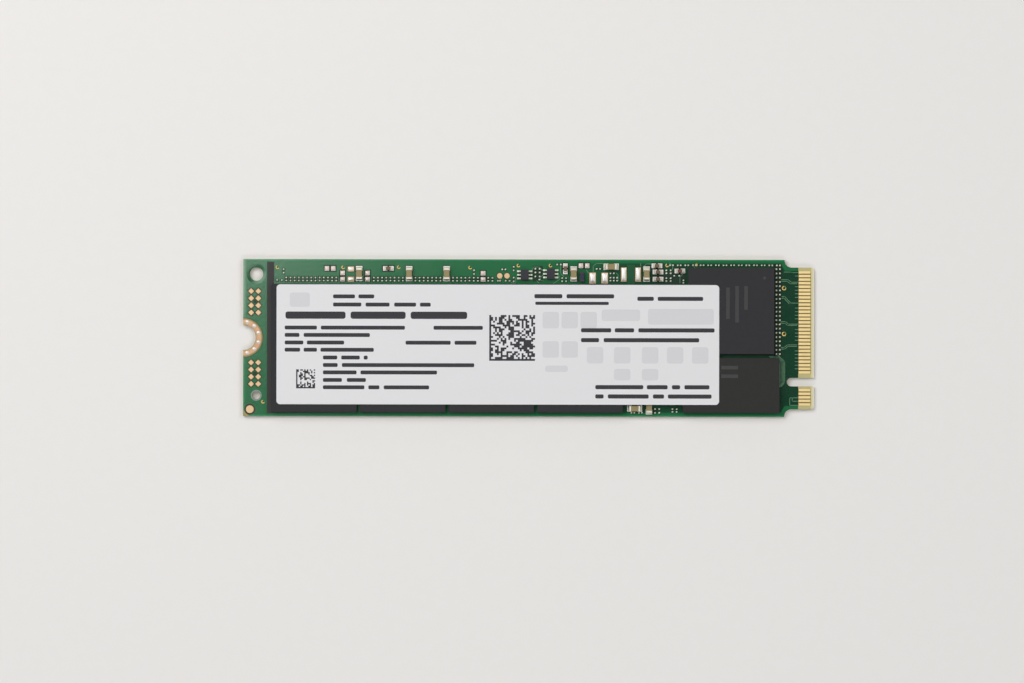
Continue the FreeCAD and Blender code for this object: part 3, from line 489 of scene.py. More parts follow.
class Drawing:
    """Closed solids drawn in millimetres, each face with the number of its material."""

    def __init__(self, smooth=False):
        self.mesh = bmesh.new()
        self.ink = 0
        self.smooth = smooth
        self.shift = Vector((0, 0, 0))
        self.turned = False
        self.stretch = 1.0

    def point(self, x, y, z):
        """Adds a point, with the drawing's quarter turn, stretch along X and shift."""
        if self.turned:
            x, y = -y, x
        return self.mesh.verts.new((Vector((x * self.stretch, y, z)) + self.shift) * MM)

    def face(self, corners):
        """Adds a face between points."""
        made = self.mesh.faces.new(corners)
        made.material_index = self.ink
        made.smooth = self.smooth

    def loft(self, sections):
        """Joins sections of as many points each into a solid."""
        for one, other in zip(sections, sections[1:]):
            for k in range(len(one)):
                self.face([one[k - 1], one[k], other[k], other[k - 1]])
        self.face(sections[0])
        self.face(sections[-1])

    def plate(self, outline, base, top):
        """Draws an upright solid between two heights, with an outline of X and Y pairs."""
        self.loft([[self.point(x, y, z) for x, y in outline] for z in (base, top)])

    def flat(self, outline, z):
        """Draws a thin sheet with its upper face at a height."""
        self.plate(outline, z - SHEET, z)

    def rectangle(self, x, y, width, depth, z):
        """Draws a flat rectangle about a centre."""
        left, right, bottom, top = x - width / 2, x + width / 2, y - depth / 2, y + depth / 2
        self.flat(((left, bottom), (right, bottom), (right, top), (left, top)), z)

    def bar(self, x, y, width, depth, z, corner):
        """Draws a flat rectangle with round corners about a centre."""
        outline = []
        for quarter, (side, level) in enumerate(((1, 1), (-1, 1), (-1, -1), (1, -1))):
            for step in range(CORNER_STEPS + 1):
                angle = FULL_TURN / 4 * (quarter + step / CORNER_STEPS)
                middle = x + side * (width / 2 - corner), y + level * (depth / 2 - corner)
                outline.append(around(*middle, corner, angle))
        self.flat(outline, z)

    def patch(self, low, high, margin, z):
        """Draws a flat rectangle that reaches past two corners by a margin."""
        middle, size = (low + high) / 2, high - low
        self.rectangle(middle.x, middle.y, size.x + 2 * margin, size.y + 2 * margin, z)

    def block(self, low, high, cut):
        """Draws a box with its edges and corners cut off."""
        spots = {}
        for signs in BOX_CORNERS:
            for axis in range(3):
                place = []
                for i, sign in enumerate(signs):
                    inward = 0 if i == axis else (cut, -cut)[sign]
                    place.append((low, high)[sign][i] + inward)
                spots[signs, axis] = self.point(*place)
            self.face([spots[signs, axis] for axis in range(3)])
        for axis in range(3):
            b, c = (axis + 1) % 3, (axis + 2) % 3
            rings = [], []
            for pair in ((0, 0), (1, 0), (1, 1), (0, 1)):
                for side in (0, 1):
                    signs = [side] * 3
                    signs[b], signs[c] = pair
                    rings[side].append(tuple(signs))
            for ring in rings:
                self.face([spots[signs, axis] for signs in ring])
            for near, far in zip(*rings):
                self.face([spots[near, b], spots[far, b], spots[far, c], spots[near, c]])

    def dome(self, low, high, height, steps=6, fullness=2.6):
        """Draws a cushion of solder over a rectangle, from the first corner's level up by a height."""
        rows = []
        for i in range(steps + 1):
            u = 2 * i / steps - 1
            row = []
            for j in range(steps + 1):
                v = 2 * j / steps - 1
                swell = (1 - abs(u) ** fullness) * (1 - abs(v) ** fullness)
                x = (low[0] + high[0]) / 2 + u * (high[0] - low[0]) / 2
                y = (low[1] + high[1]) / 2 + v * (high[1] - low[1]) / 2
                row.append(self.point(x, y, low[2] + height * math.sqrt(max(swell, 0))))
            rows.append(row)
        for one, other in zip(rows, rows[1:]):
            for j in range(steps):
                self.face([one[j], other[j], other[j + 1], one[j + 1]])
        near, far = rows[0][:-1], rows[-1][:0:-1]
        self.face(near + [row[-1] for row in rows[:-1]] + far + [row[0] for row in rows[:0:-1]])

    def lathe(self, x, y, profile, sides, start=0.0, turn=FULL_TURN):
        """Turns a section of radius and height pairs about a vertical axis, fully or in part."""
        closed = turn >= FULL_TURN
        tips = {k: self.point(x, y, z) for k, (r, z) in enumerate(profile) if r == 0}
        columns = []
        for i in range(sides if closed else sides + 1):
            angle = start + turn * i / sides
            columns.append([tips[k] if k in tips else self.point(*around(x, y, r, angle), z)
                            for k, (r, z) in enumerate(profile)])
        following = columns[1:] + columns[:1] if closed else columns[1:]
        for one, other in zip(columns, following):
            for k in range(len(profile)):
                corners = list(dict.fromkeys((one[k - 1], other[k - 1], other[k], one[k])))
                if len(corners) > 2:
                    self.face(corners)
        if not closed:
            self.face(columns[0])
            self.face(columns[-1])

    def disc(self, x, y, radius, z, sides=16):
        """Draws a flat disc."""
        self.flat([around(x, y, radius, FULL_TURN * i / sides) for i in range(sides)], z)

    def ribbon(self, route, width, base, height):
        """Draws a low strip of copper along a route of X and Y pairs."""
        for (x0, y0), (x1, y1) in zip(route, route[1:]):
            along = Vector((x1 - x0, y1 - y0, 0)).normalized() * width / 2
            side = Vector((-along.y, along.x, 0))
            start = Vector((x0, y0, 0)) - along
            end = Vector((x1, y1, 0)) + along
            corners = (start - side, end - side, end + side, start + side)
            self.plate([corner.xy for corner in corners], base, base + height)

    def finish(self, name, materials):
        """Makes the drawing an object."""
        bmesh.ops.recalc_face_normals(self.mesh, faces=self.mesh.faces)
        for edge in self.mesh.edges:
            edge.smooth = edge.calc_face_angle(0) < SHARP_ANGLE
        mesh = bpy.data.meshes.new(name)
        self.mesh.to_mesh(mesh)
        self.mesh.free()
        for material in materials:
            mesh.materials.append(MATERIALS[material])
        return add_object(name, mesh)

    def place(self, name, materials, slot, stands_for=()):
        """Makes the drawing an object that rides on the card."""
        made = self.finish(name, materials)
        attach(made, "root")
        if stands_for:
            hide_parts(*stands_for)


def box_mm(node):
    """Gives the corners of a CAD node in millimetres."""
    low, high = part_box(node)
    return low / MM, high / MM


def box_around(points):
    """Gives the corners of the box around points."""
    return [Vector(pick(point[i] for point in points) for i in range(3)) for pick in (min, max)]


def islands(node):
    """Gives the corners of each separate solid in a CAD node, in millimetres."""
    work = bmesh.new()
    work.from_mesh(nodes[node].data)
    bmesh.ops.remove_doubles(work, verts=work.verts, dist=MERGE * MM)
    boxes, seen = [], set()
    for first in work.verts:
        if first in seen:
            continue
        found = [first]
        seen.add(first)
        for vertex in found:
            for edge in vertex.link_edges:
                other = edge.other_vert(vertex)
                if other not in seen:
                    seen.add(other)
                    found.append(other)
        boxes.append(box_around([vertex.co / MM for vertex in found]))
    work.free()
    return boxes


# The CAD nodes that keep their shape: a better material, and softened edges

FLASH = [f"flash_memory_{number}" for number in range(1, 5)]
SWITCHES = ("power_switch_1", "power_switch_2")
SOFT_SEGMENTS = 2
# By material, and by how far their edges are rounded
DRESSES = {
    ("board", 0.0): ["circuit_board"],
    ("gold", 0.012): ["edge_contacts_top", "edge_contacts_bottom"],
    ("ring", 0.0): ["mount_plating"],
    ("tin", 0.0): ["mount_vias"],
    ("copper", 0.015): ["probe_pads", "fiducial_pad", "test_points"],
    ("band", 0.0): ["ink_band"],
    ("film", 0.02): ["label"],
    ("flash", 0.07): FLASH,
    ("logic", 0.06): ["controller"],
    ("cache", 0.06): ["cache_memory"],
    ("logic", 0.05): ["power_chip"],
    ("tin", 0.05): ["clock_crystal"],
    ("switch", 0.06): SWITCHES,
}


def dress(node, material, soften):
    """Gives a CAD node its material, and rounds its edges where asked."""
    thing = nodes[node]
    thing.data.materials.clear()
    thing.data.materials.append(MATERIALS[material])
    if soften:
        weld = thing.modifiers.new("weld", "WELD")
        weld.merge_threshold = MERGE * MM
        bevel = thing.modifiers.new("soften", "BEVEL")
        bevel.width = soften * MM
        bevel.segments = SOFT_SEGMENTS
        bevel.limit_method = "ANGLE"


for (material, soften), dressed in DRESSES.items():
    for node in dressed:
        dress(node, material, soften)


# Solder balls: the full array under each package

BALL_RADIUS = 0.25
BALL_PROFILE = ((0.0, 0.0), (0.66, 0.0), (0.9, 0.2), (1.0, 0.5), (0.9, 0.8), (0.66, 1.0), (0.0, 1.0))
BALL_SIDES = 10
BALL_PITCH = {"controller": 0.8, "cache_memory": 0.8, **dict.fromkeys(FLASH, 1.0)}


def solder_balls(package, pitch):
    """Barrel-shaped balls between the board and a package."""
    name = f"{package}_solder_balls"
    low, high = box_mm(name)
    middle = (low + high) / 2
    columns = round((high.x - low.x) / pitch)
    rows = round((high.y - low.y) / pitch)
    drawing = Drawing(smooth=True)
    height = high.z - low.z
    profile = [(r * BALL_RADIUS, low.z + h * height) for r, h in BALL_PROFILE]
    for i in range(columns):
        for j in range(rows):
            x = middle.x + (i - (columns - 1) / 2) * pitch
            y = middle.y + (j - (rows - 1) / 2) * pitch
            drawing.lathe(x, y, profile, BALL_SIDES)
    drawing.place(f"{name}_full", ["tin"], "solder", [name])


for package, pitch in BALL_PITCH.items():
    solder_balls(package, pitch)


# Chip parts: a block between two rounded caps, with a fillet of solder at each tinned end

# How far the body stands back from the caps, and how much is cut off the edges of both
BODY_STEP = 0.025
BODY_CUT = 0.03
CAP_CUT = 0.05
# A fillet reaches out by a share of the chip's length, up to a limit, and climbs by a share of its height
FILLET_STEPS = 5
FILLET_REACH = 0.25
FILLET_SHARE = 0.13
FILLET_INSET = 0.02
FILLET_BASE = BOARD_TOP + 0.03
FILLET_CLIMB = 0.5
# Its width where it starts, the width of its crest and its height where it ends, as shares
FILLET_START = 0.96
FILLET_CREST = 0.9
FILLET_TIP = 0.02
# By body material: the chips, their slot, the material of their caps and the caps' share of the length
CHIP_STYLES = {
    "ceramic": ([f"capacitor_{n}" for n in range(1, 9)], "chip_ceramic", "cap_tin", 0.2),
    "small": ([f"small_capacitor_{n}" for n in range(1, 6)], "chip_ceramic", "cap_tin", 0.19),
    "brown": (["small_capacitor_6"], "chip_ceramic", "cap_tin", 0.19),
    "fuse": (["chip_fuse"], "fuse_body", "cap", 0.2),
    "powder": (["inductor_1", "inductor_2", "inductor_3"], "inductor_body", "cap_tin", 0.18),
}


def fillet(drawing, start, reach, half_width, base, height):
    """A concave wedge of solder from a chip's end face down to the end of its land."""
    side = 1 if reach > 0 else -1
    rows = []
    for i in range(FILLET_STEPS + 1):
        share = i / FILLET_STEPS
        x = start + reach * share
        z = base + height * max((1 - share) ** 2, FILLET_TIP)
        foot = half_width * (FILLET_START + (1 - FILLET_START) * share)
        crest = foot * FILLET_CREST
        section = ((-foot, base), (-crest, z), (crest, z), (foot, base))
        rows.append([drawing.point(x, y, level) for y, level in section][::side])
    drawing.loft(rows)


def chip(node, body, slot, cap, share):
    """A two-ended chip in the place of a CAD node."""
    low, high = box_mm(node)
    size = high - low
    drawing = Drawing()
    drawing.turned = size.y > size.x
    width, length = sorted(size.xy)
    drawing.shift = ((low + high) / 2).xy.to_3d()
    end = length * share
    half, side = length / 2, width / 2
    inner = half - end / 2, side - BODY_STEP
    drawing.block((-inner[0], -inner[1], low.z + BODY_STEP), (*inner, high.z - BODY_STEP), BODY_CUT)
    drawing.ink = 1
    for a, b in ((-half, -half + end), (half - end, half)):
        drawing.block((a, -side, low.z), (b, side, high.z), CAP_CUT)
    if cap == "cap_tin":
        drawing.smooth = True
        start, reach = half - FILLET_INSET, min(FILLET_REACH, length * FILLET_SHARE)
        for sign in (-1, 1):
            fillet(drawing, sign * start, sign * reach, side, FILLET_BASE, size.z * FILLET_CLIMB)
    drawing.place(f"{node}_chip", [body, cap], slot, [node])


for body, (chips, slot, cap, share) in CHIP_STYLES.items():
    for node in chips:
        chip(node, body, slot, cap, share)


# Solder lands: flat tin under a chip, a cushion of solder inside a gold border where no chip stands

CHIP_BOXES = [box_mm(node) for chips, *_ in CHIP_STYLES.values() for node in chips]
# The gold border, the height of the cushion, and the dark margin around the land
BORDERED_LANDS = {
    "capacitor_lands": (0.09, 0.09, 0.08),
    "small_lands": (0.04, 0.08, 0.13),
    "power_lands": (0.09, 0.12, 0.06),
}
FINE_LANDS = ("flash_lands", "controller_lands")
FINE_INSET = 0.03
FINE_CUSHION = 0.06
LAND_CUT = 0.012
CUSHION_STEPS = 10
# A land this near to a chip lies under it
CHIP_REACH = 0.4
# Dark margins: around columns of flash lands, the controller's columns and pairs, and the switches' leads
FLASH_MARGIN = 0.07
COLUMN_MARGIN = 0.1
PAIR_MARGIN = 0.06
LEAD_MARGIN = 0.02
CONTROLLER_GAP = 0.12


def under_chip(low, high):
    """Says whether a land lies under a chip."""
    middle = (low + high) / 2
    for a, b in CHIP_BOXES:
        if all(a[i] - CHIP_REACH < middle[i] < b[i] + CHIP_REACH for i in range(2)):
            return True
    return False


def bordered_lands(node, rim, height):
    """The larger lands of a CAD node."""
    drawing = Drawing()
    for low, high in islands(node):
        occupied = node != "power_lands" and under_chip(low, high)
        drawing.smooth = False
        drawing.ink = 0 if occupied or node == "small_lands" else 1
        drawing.block(low, high, LAND_CUT)
        if not occupied:
            drawing.smooth = True
            drawing.ink = 2 if node == "small_lands" else 0
            start, end = (low.x + rim, low.y + rim, high.z), (high.x - rim, high.y - rim)
            drawing.dome(start, end, height, CUSHION_STEPS)
    drawing.place(f"{node}_solder", ["tin", "copper", "warm"], "solder", [node])


def fine_lands(node):
    """The small lands of a CAD node, each under a drop of solder."""
    drawing = Drawing(smooth=True)
    inset = Vector((FINE_INSET, FINE_INSET, 0))
    for low, high in islands(node):
        drawing.dome(low + inset, high - inset, FINE_CUSHION)
    drawing.place(f"{node}_solder", ["dull"], "solder", [node])


def openings():
    """Dark laminate around the lands, where the solder mask stops short of them, and a dark patch under the
    switches' leads.
    """
    drawing = Drawing()
    level = BOARD_TOP + OPENING_LIFT
    for node, (_, _, margin) in BORDERED_LANDS.items():
        for low, high in islands(node):
            drawing.patch(low, high, margin, level)
    columns = {}
    for low, high in islands("flash_lands"):
        columns.setdefault(round(low.x, 1), []).extend((low, high))
    for corners in columns.values():
        drawing.patch(*box_around(corners), FLASH_MARGIN, level)
    low, high = box_mm("controller_lands")
    edge = box_mm("controller")[1].x + CONTROLLER_GAP
    drawing.patch(Vector((edge, low.y, 0)), high, COLUMN_MARGIN, level)
    for pad_low, pad_high in islands("controller_lands"):
        if pad_high.x < edge - COLUMN_MARGIN:
            drawing.patch(pad_low, pad_high, PAIR_MARGIN, level)
    # A dark patch under each switch's leads
    for switch in SWITCHES:
        drawing.patch(*box_mm(f"{switch}_leads"), LEAD_MARGIN, level)
    drawing.place("mask_openings", ["opening"], "solder_mask")


for node, (rim, height, _) in BORDERED_LANDS.items():
    bordered_lands(node, rim, height)
for node in FINE_LANDS:
    fine_lands(node)
openings()


# Dark frames around the gold pads

# How far out the frame's inner tips and its blunt outer tips lie, and half the width of a blunt tip
FRAME_INNER = 0.46
FRAME_SIDE = 0.495
FRAME_CUT = 0.085
TEST_POINT_FRAME = 0.49
TEST_POINT_SIDES = 24


def pad_frames():
    """A dark frame around each probe pad and a dark disc under each test point."""
    drawing = Drawing()
    level = BOARD_TOP + OPENING_LIFT
    for low, high in islands("probe_pads"):
        middle = ((low + high) / 2).xy
        for a, b in ((1, 0), (0, 1), (-1, 0), (0, -1)):
            out, side = Vector((a, b)), Vector((-b, a))
            tip, side_tip = middle + out * FRAME_INNER, middle + side * FRAME_INNER
            before = middle + out * FRAME_SIDE - side * FRAME_CUT
            after = middle + out * FRAME_SIDE + side * FRAME_CUT
            following = middle + side * FRAME_SIDE + out * FRAME_CUT
            drawing.flat((tip, before, after), level)
            drawing.flat((tip, after, following, side_tip), level)
    for low, high in islands("test_points"):
        middle = (low + high) / 2
        drawing.disc(middle.x, middle.y, TEST_POINT_FRAME, level, TEST_POINT_SIDES)
    drawing.place("pad_frames", ["frame"], "solder_mask")


pad_frames()


# Leads of the six-lead switches: bent from the block's side down to the board

# How far out and up the lead's underside runs
LEAD_PROFILE = ((0.0, 0.34), (0.12, 0.34), (0.22, 0.06), (0.5, 0.04))
LEAD_THICKNESS = 0.09
# Solder at the lead's foot: its middle, how far it reaches along and beside the lead, and its height
FOOT_PLACE = 0.36
FOOT_REACH = Vector((0.15, 0.03, 0))
FOOT_HEIGHT = 0.09


def switch_leads(switch):
    """Gull-wing leads in the place of the CAD leads, each with a little solder at its foot."""
    node = f"{switch}_leads"
    block_low, block_high = box_mm(switch)
    centre = (block_low.x + block_high.x) / 2
    drawing = Drawing()
    for low, high in islands(node):
        side = 1 if (low.x + high.x) / 2 > centre else -1
        root = block_high.x if side > 0 else block_low.x
        rows = []
        for out, up in LEAD_PROFILE:
            x = root + side * out
            z = BOARD_TOP + up
            top = z + LEAD_THICKNESS
            section = ((low.y, z), (high.y, z), (high.y, top), (low.y, top))
            rows.append([drawing.point(x, y, level) for y, level in section])
        drawing.loft(rows)
        drawing.smooth = True
        foot = root + side * FOOT_PLACE
        start, end = Vector((foot, low.y, BOARD_TOP)), Vector((foot, high.y, BOARD_TOP))
        drawing.dome(start - FOOT_REACH, end + FOOT_REACH, FOOT_HEIGHT)
        drawing.smooth = False
    drawing.place(f"{node}_bent", ["dull"], "solder", [node])


for switch in SWITCHES:
    switch_leads(switch)


# Small copper on the board: vias, solder dots, masked traces and rims around the holes

CRESCENT_VIAS = ((-35.2, 9.85), (-26.0, 9.85), (-18.2, 9.9), (-8.2, 9.85), (-1.43, 10.15), (3.06, 10.15),
                 (19.4, 10.2), (-37.2, -9.0))
RING_VIAS = ((35.8, 7.05), (35.8, 0.62))
ROUND_VIA = (23.5, 10.27)
ROUND_VIA_RADIUS = 0.19
# Inner and outer radius of the vias, their height and sides, and the start and turn of the part that light
# catches: a painted highlight, with painted shade on the rest of a ring via
CRESCENT = (0.12, 0.25)
RING = (0.17, 0.31)
VIA_HEIGHT = 0.02
SHADED_HEIGHT = 0.015
VIA_SIDES = 14
SHADED_SIDES = 8
LIT_ARC = (math.radians(100), math.radians(245))
SHADED_ARC = (LIT_ARC[0], LIT_ARC[1] - FULL_TURN)
# Grids of solder dots: places along the card and across it
DOT_GRIDS = (
    ((-35.25, -34.6), (8.04,)), ((-34.33,), (9.58, 9.09)), ((-7.65,), (9.47, 8.95)), ((-3.7, -3.26), (9.6,)),
    ((-2.1,), (9.96, 9.47, 8.45, 7.93)), ((-4.31, -4.0, -3.22, -2.68), (7.99,)),
    ((0.94, 1.54), (9.7, 9.18, 8.62)), ((1.5,), (8.17,)), ((4.0, 4.5), (10.3,)), ((4.7, 5.25), (8.39, 7.94)),
    ((9.52, 10.01), (9.69,)), ((11.46, 11.93), (9.07, 8.46, 8.04)), ((12.4,), (8.46, 8.04)),
    ((19.3, 19.9), (9.5, 9.1, 8.4, 8.0)), ((20.4, 21.1), (8.75,)), ((21.7,), (8.1, 7.75)),
    ((14.44, 14.84, 15.48, 15.89), (-10.46,)), ((17.74, 18.33), (-9.93, -10.46)),
    ((20.19, 20.78), (-9.93, -10.32)),
)
SOLDER_DOTS = [(x, y) for along, across in DOT_GRIDS for x in along for y in across]
# Half a dot's side, its height and steps, and the side of its opening
DOT = 0.12
DOT_HEIGHT = 0.06
DOT_STEPS = 4
DOT_OPENING = 0.4
# Routes of single traces
TRACES = (
    ((35.81, 9.3), (36.66, 9.3), (36.96, 9.23), (37.76, 9.23)),
    ((35.43, 8.23), (36.35, 8.23), (36.81, 7.87), (37.78, 7.87)),
    ((35.43, 8.01), (36.23, 8.01), (36.66, 7.67), (37.58, 7.67)),
    ((35.5, 5.87), (35.89, 5.87), (36.73, 4.95), (37.73, 4.95)),
    ((35.5, 5.64), (35.8, 5.64), (36.5, 4.88)),
    ((35.35, 2.38), (36.04, 2.32), (36.43, 2.0), (37.73, 2.0)),
    ((35.35, 2.14), (35.97, 2.11), (36.27, 1.83), (37.58, 1.83)),
    ((35.43, -1.27), (35.81, -1.27), (36.27, -0.91), (37.58, -0.91)),
    ((35.43, -1.49), (35.89, -1.49), (36.32, -1.12), (37.58, -1.12)),
    ((33.74, -2.55), (35.0, -2.55)),
    ((33.9, -2.68), (35.0, -2.68)),
    ((37.73, -8.32), (36.61, -8.32), (36.61, -9.38), (37.73, -9.38)),
    ((36.96, -8.32), (36.96, -8.81), (37.73, -8.81)),
    ((4.48, 10.23), (4.48, 9.07), (4.91, 8.61)),
    ((4.04, 8.85), (4.36, 8.56), (4.36, 8.23), (3.47, 7.65)),
    ((2.02, 8.85), (1.66, 8.49), (1.66, 8.03), (2.02, 8.03)),
    ((1.15, 8.03), (1.44, 7.7)),
    ((2.02, 9.43), (1.44, 9.94), (0.71, 9.94), (0.5, 9.51)),
    ((-1.82, 8.42), (-1.82, 7.7), (-2.47, 7.7)),
    ((-3.77, 8.35), (-4.21, 7.98), (-4.43, 7.98)),
    ((9.04, 9.29), (9.04, 10.08), (9.48, 10.45), (10.34, 10.45)),
    ((8.39, 9.14), (8.1, 9.51)),
    ((15.7, 10.45), (15.7, 10.08)),
    ((16.17, 10.08), (16.5, 10.4), (17.22, 10.4)),
    ((19.76, 10.52), (20.19, 10.08), (20.19, 9.65)),
    ((21.64, 9.07), (21.2, 8.56), (21.2, 7.77)),
    ((23.09, 10.37), (23.23, 9.87), (23.96, 9.51)),
    ((12.23, 9.14), (12.52, 8.93), (12.52, 8.03)),
)
TRACE_WIDTH = 0.095
# Bundle of traces around a corner: the outermost one, their number and the step between them
BUNDLE_ROUTE = ((35.0, -2.4), (35.9, -3.25), (35.9, -6.15), (35.45, -6.75))
BUNDLE_COUNT = 5
BUNDLE_STEP = Vector((-0.17, -0.05))
BUNDLE = [[Vector(spot) + BUNDLE_STEP * number for spot in BUNDLE_ROUTE] for number in range(BUNDLE_COUNT)]
# Short traces at the contacts: their places across the card, and their start and end along it
STUBS = (8.75, 7.25, 6.75, 6.25, 5.75, 4.25, 3.75, 3.25, 2.75, 1.25, 0.75, 0.25, -0.25,
         -1.75, -2.25, -2.75, -3.25, -3.75, -4.25)
STUB_RUN = (37.36, 37.76)
# Darker places in the mask: left, bottom, right and top
SHADES = ((0.57, 7.9, 2.0, 10.1), (19.0, 7.62, 22.1, 9.4), (-38.57, 4.8, -38.12, 5.24),
          (-38.57, -5.24, -38.12, -4.8))
DEEP_MASK = (13.8, 7.62, 14.86, 10.3)
# Rims of the holes: radius and height pairs for the large one, inner and outer radius for the small one
RIM_SECTION = ((0.96, 0.0), (1.0, 0.05), (1.1, 0.07), (1.22, 0.05), (1.36, 0.0))
SMALL_RIM = (0.56, 0.76)
LARGE_RIM_SIDES = 40
SMALL_RIM_SIDES = 32


def ring_profile(inner, outer, height):
    """The section of a low flat ring on the board."""
    top = BOARD_TOP + height
    return ((inner, BOARD_TOP), (inner, top), (outer, top), (outer, BOARD_TOP))


def shade(drawing, left, bottom, right, top, z):
    """Draws a flat rectangle between two corners."""
    drawing.patch(Vector((left, bottom)), Vector((right, top)), 0, z)


def copper_details():
    """Vias, solder dots, hole rims and traces on the board's upper face."""
    drawing = Drawing()
    # Gold vias: only the lit part of each ring is drawn, as a painted highlight, and the rest of each ring
    # via is painted shade in a darker gold
    for x, y in CRESCENT_VIAS:
        drawing.lathe(x, y, ring_profile(*CRESCENT, VIA_HEIGHT), VIA_SIDES, *LIT_ARC)
    for x, y in RING_VIAS:
        drawing.ink = 0
        drawing.lathe(x, y, ring_profile(*RING, VIA_HEIGHT), VIA_SIDES, *LIT_ARC)
        drawing.ink = 1
        drawing.lathe(x, y, ring_profile(*RING, SHADED_HEIGHT), SHADED_SIDES, *SHADED_ARC)
    drawing.ink = 0
    drawing.disc(*ROUND_VIA, ROUND_VIA_RADIUS, BOARD_TOP + VIA_HEIGHT)
    drawing.place("gold_vias", ["via", "shaded_via"], "gold_plating")

    drawing = Drawing()
    level = BOARD_TOP + OPENING_LIFT
    for x, y in CRESCENT_VIAS:
        drawing.disc(x, y, CRESCENT[0], level)
    for x, y in RING_VIAS:
        drawing.disc(x, y, RING[0], level)
    for x, y in SOLDER_DOTS:
        drawing.rectangle(x, y, DOT_OPENING, DOT_OPENING, level)
    drawing.place("via_openings", ["opening"], "solder_mask")

    drawing = Drawing(smooth=True)
    for x, y in SOLDER_DOTS:
        drawing.dome((x - DOT, y - DOT, BOARD_TOP), (x + DOT, y + DOT, BOARD_TOP), DOT_HEIGHT, DOT_STEPS)
    drawing.place("solder_dots", ["dull"], "solder")

    drawing = Drawing()
    for route in (*TRACES, *BUNDLE):
        drawing.ribbon(route, TRACE_WIDTH, BOARD_TOP, TRACE_HEIGHT)
    for y in STUBS:
        drawing.ribbon([(x, y) for x in STUB_RUN], TRACE_WIDTH, BOARD_TOP, TRACE_HEIGHT)
    drawing.place("masked_traces", ["trace"], "solder_mask")

    drawing = Drawing()
    for sides in SHADES:
        shade(drawing, *sides, BOARD_TOP + SHADE_LIFT)
    drawing.ink = 1
    shade(drawing, *DEEP_MASK, BOARD_TOP + SHADE_LIFT)
    drawing.place("dark_mask", ["shade", "deep"], "solder_mask")

    drawing = Drawing(smooth=True)
    drawing.lathe(*LARGE_HOLE, [(r, BOARD_TOP + h) for r, h in RIM_SECTION], LARGE_RIM_SIDES)
    # A grey ring around the small hole
    drawing.ink = 1
    drawing.smooth = False
    drawing.lathe(*SMALL_HOLE, ring_profile(*SMALL_RIM, VIA_HEIGHT), SMALL_RIM_SIDES)
    drawing.place("hole_rims", ["rim", "grey_rim"], "solder_mask")


copper_details()


# Solder domes on the filled vias of the mounting ring

# The dome's section, how far it is stretched along X, and where the vias stand
VIA_DOME = ((0.0, 0.05), (0.12, 0.045), (0.2, 0.03), (0.26, 0.0), (0.0, 0.0))
VIA_STRETCH = 1.1
DOME_SIDES = 14
VIA_CIRCLE = 2.25
VIA_ANGLES = (-75, -46, -17, 17, 46, 75)


def ring_domes():
    """Low domes of solder over the vias, on the plated half ring."""
    drawing = Drawing(smooth=True)
    drawing.stretch = VIA_STRETCH
    top = box_mm("mount_plating")[1].z
    profile = [(r, top + h) for r, h in VIA_DOME]
    for angle in VIA_ANGLES:
        x, y = around(*RING_CENTRE, VIA_CIRCLE, math.radians(angle))
        drawing.lathe(x / VIA_STRETCH, y, profile, DOME_SIDES)
    drawing.place("mount_via_domes", ["ring_tin"], "solder")


ring_domes()


# Printing: plain bars, fields and code squares of random modules, with no letters and no signs

# Rows of bars: place across the card, height, and the start and end of each bar
PRINT_ROWS = (
    (5.77, 0.75, ((-27.35, -24.3), (-23.8, -21.6))),
    (4.63, 0.75, ((-27.35, -23.4), (-22.8, -19.45), (-18.8, -15.75), (-15.2, -13.7))),
    (3.14, 1.4, ((-34.0, -25.6), (-24.9, -17.2), (-16.5, -8.6))),
    (1.4, 0.75, ((-34.1, -29.6), (-29.05, -17.3), (-13.3, -6.4))),
    (0.37, 0.75, ((-34.1, -32.05), (-31.45, -22.2))),
    (-0.69, 0.75, ((-34.1, -31.5), (-31.0, -25.8), (-17.2, -10.9), (-10.35, -7.3))),
    (-1.7, 0.75, ((-34.1, -31.95), (-31.45, -29.6), (-29.1, -21.65))),
    (-2.78, 0.75, ((-28.75, -26.75), (-26.2, -23.6), (-23.05, -22.5))),
    (-3.83, 0.75, ((-28.75, -26.7), (-26.1, -7.6))),
    (-4.86, 0.75, ((-28.75, -24.05), (-23.5, -12.8))),
    (-5.92, 0.75, ((-28.75, -26.1), (-25.4, -22.75))),
    (-6.94, 0.75, ((-28.75, -22.95), (-22.4, -20.85), (-20.25, -13.9))),
    (5.84, 0.8, ((0.8, 4.7), (5.3, 11.95))),
    (4.85, 0.6, ((0.93, 11.2),)),
    (5.5, 0.78, ((15.2, 17.5), (18.05, 24.4))),
    (1.09, 0.8, ((7.33, 11.55), (12.05, 14.75), (15.35, 26.0))),
    (-0.29, 0.8, ((7.33, 9.85), (10.5, 23.85))),
    (-6.86, 0.8, ((9.34, 16.05), (16.55, 19.45), (20.05, 21.2), (21.8, 25.3))),
    (-8.16, 0.8, ((9.34, 10.5), (11.1, 16.8), (17.4, 18.95), (19.5, 25.6))),
)
# A bar's share of its row's height, and its corners' share of its own
BAR_SHARE = 0.72
CORNER_SHARE = 0.3
# Pale fields: the middles of those of each size
FIELDS = {
    (2.8, 2.0): ((-32.0, 5.3),),
    (2.3, 2.3): ((3.1, 2.5), (5.75, 2.5), (8.4, 2.5), (3.1, -1.6), (5.75, -1.6),
                 (9.3, -2.4), (13.1, -2.4), (17.0, -2.4), (20.5, -2.4), (24.0, -2.4)),
    (5.4, 1.6): ((12.9, 3.2),),
    (9.2, 2.2): ((21.3, 3.0),),
    (2.3, 1.6): ((13.1, -5.1), (17.0, -5.1)),
    (3.2, 0.9): ((3.9, -4.3),),
}
FIELD_CORNER = 0.35
# Code squares: lower left corner, side and modules to a side
CODES = ((-5.5, -3.2, 6.4, 24), (-32.5, -7.1, 2.66, 14))
DARK_SHARE = 0.5
SEED = 22
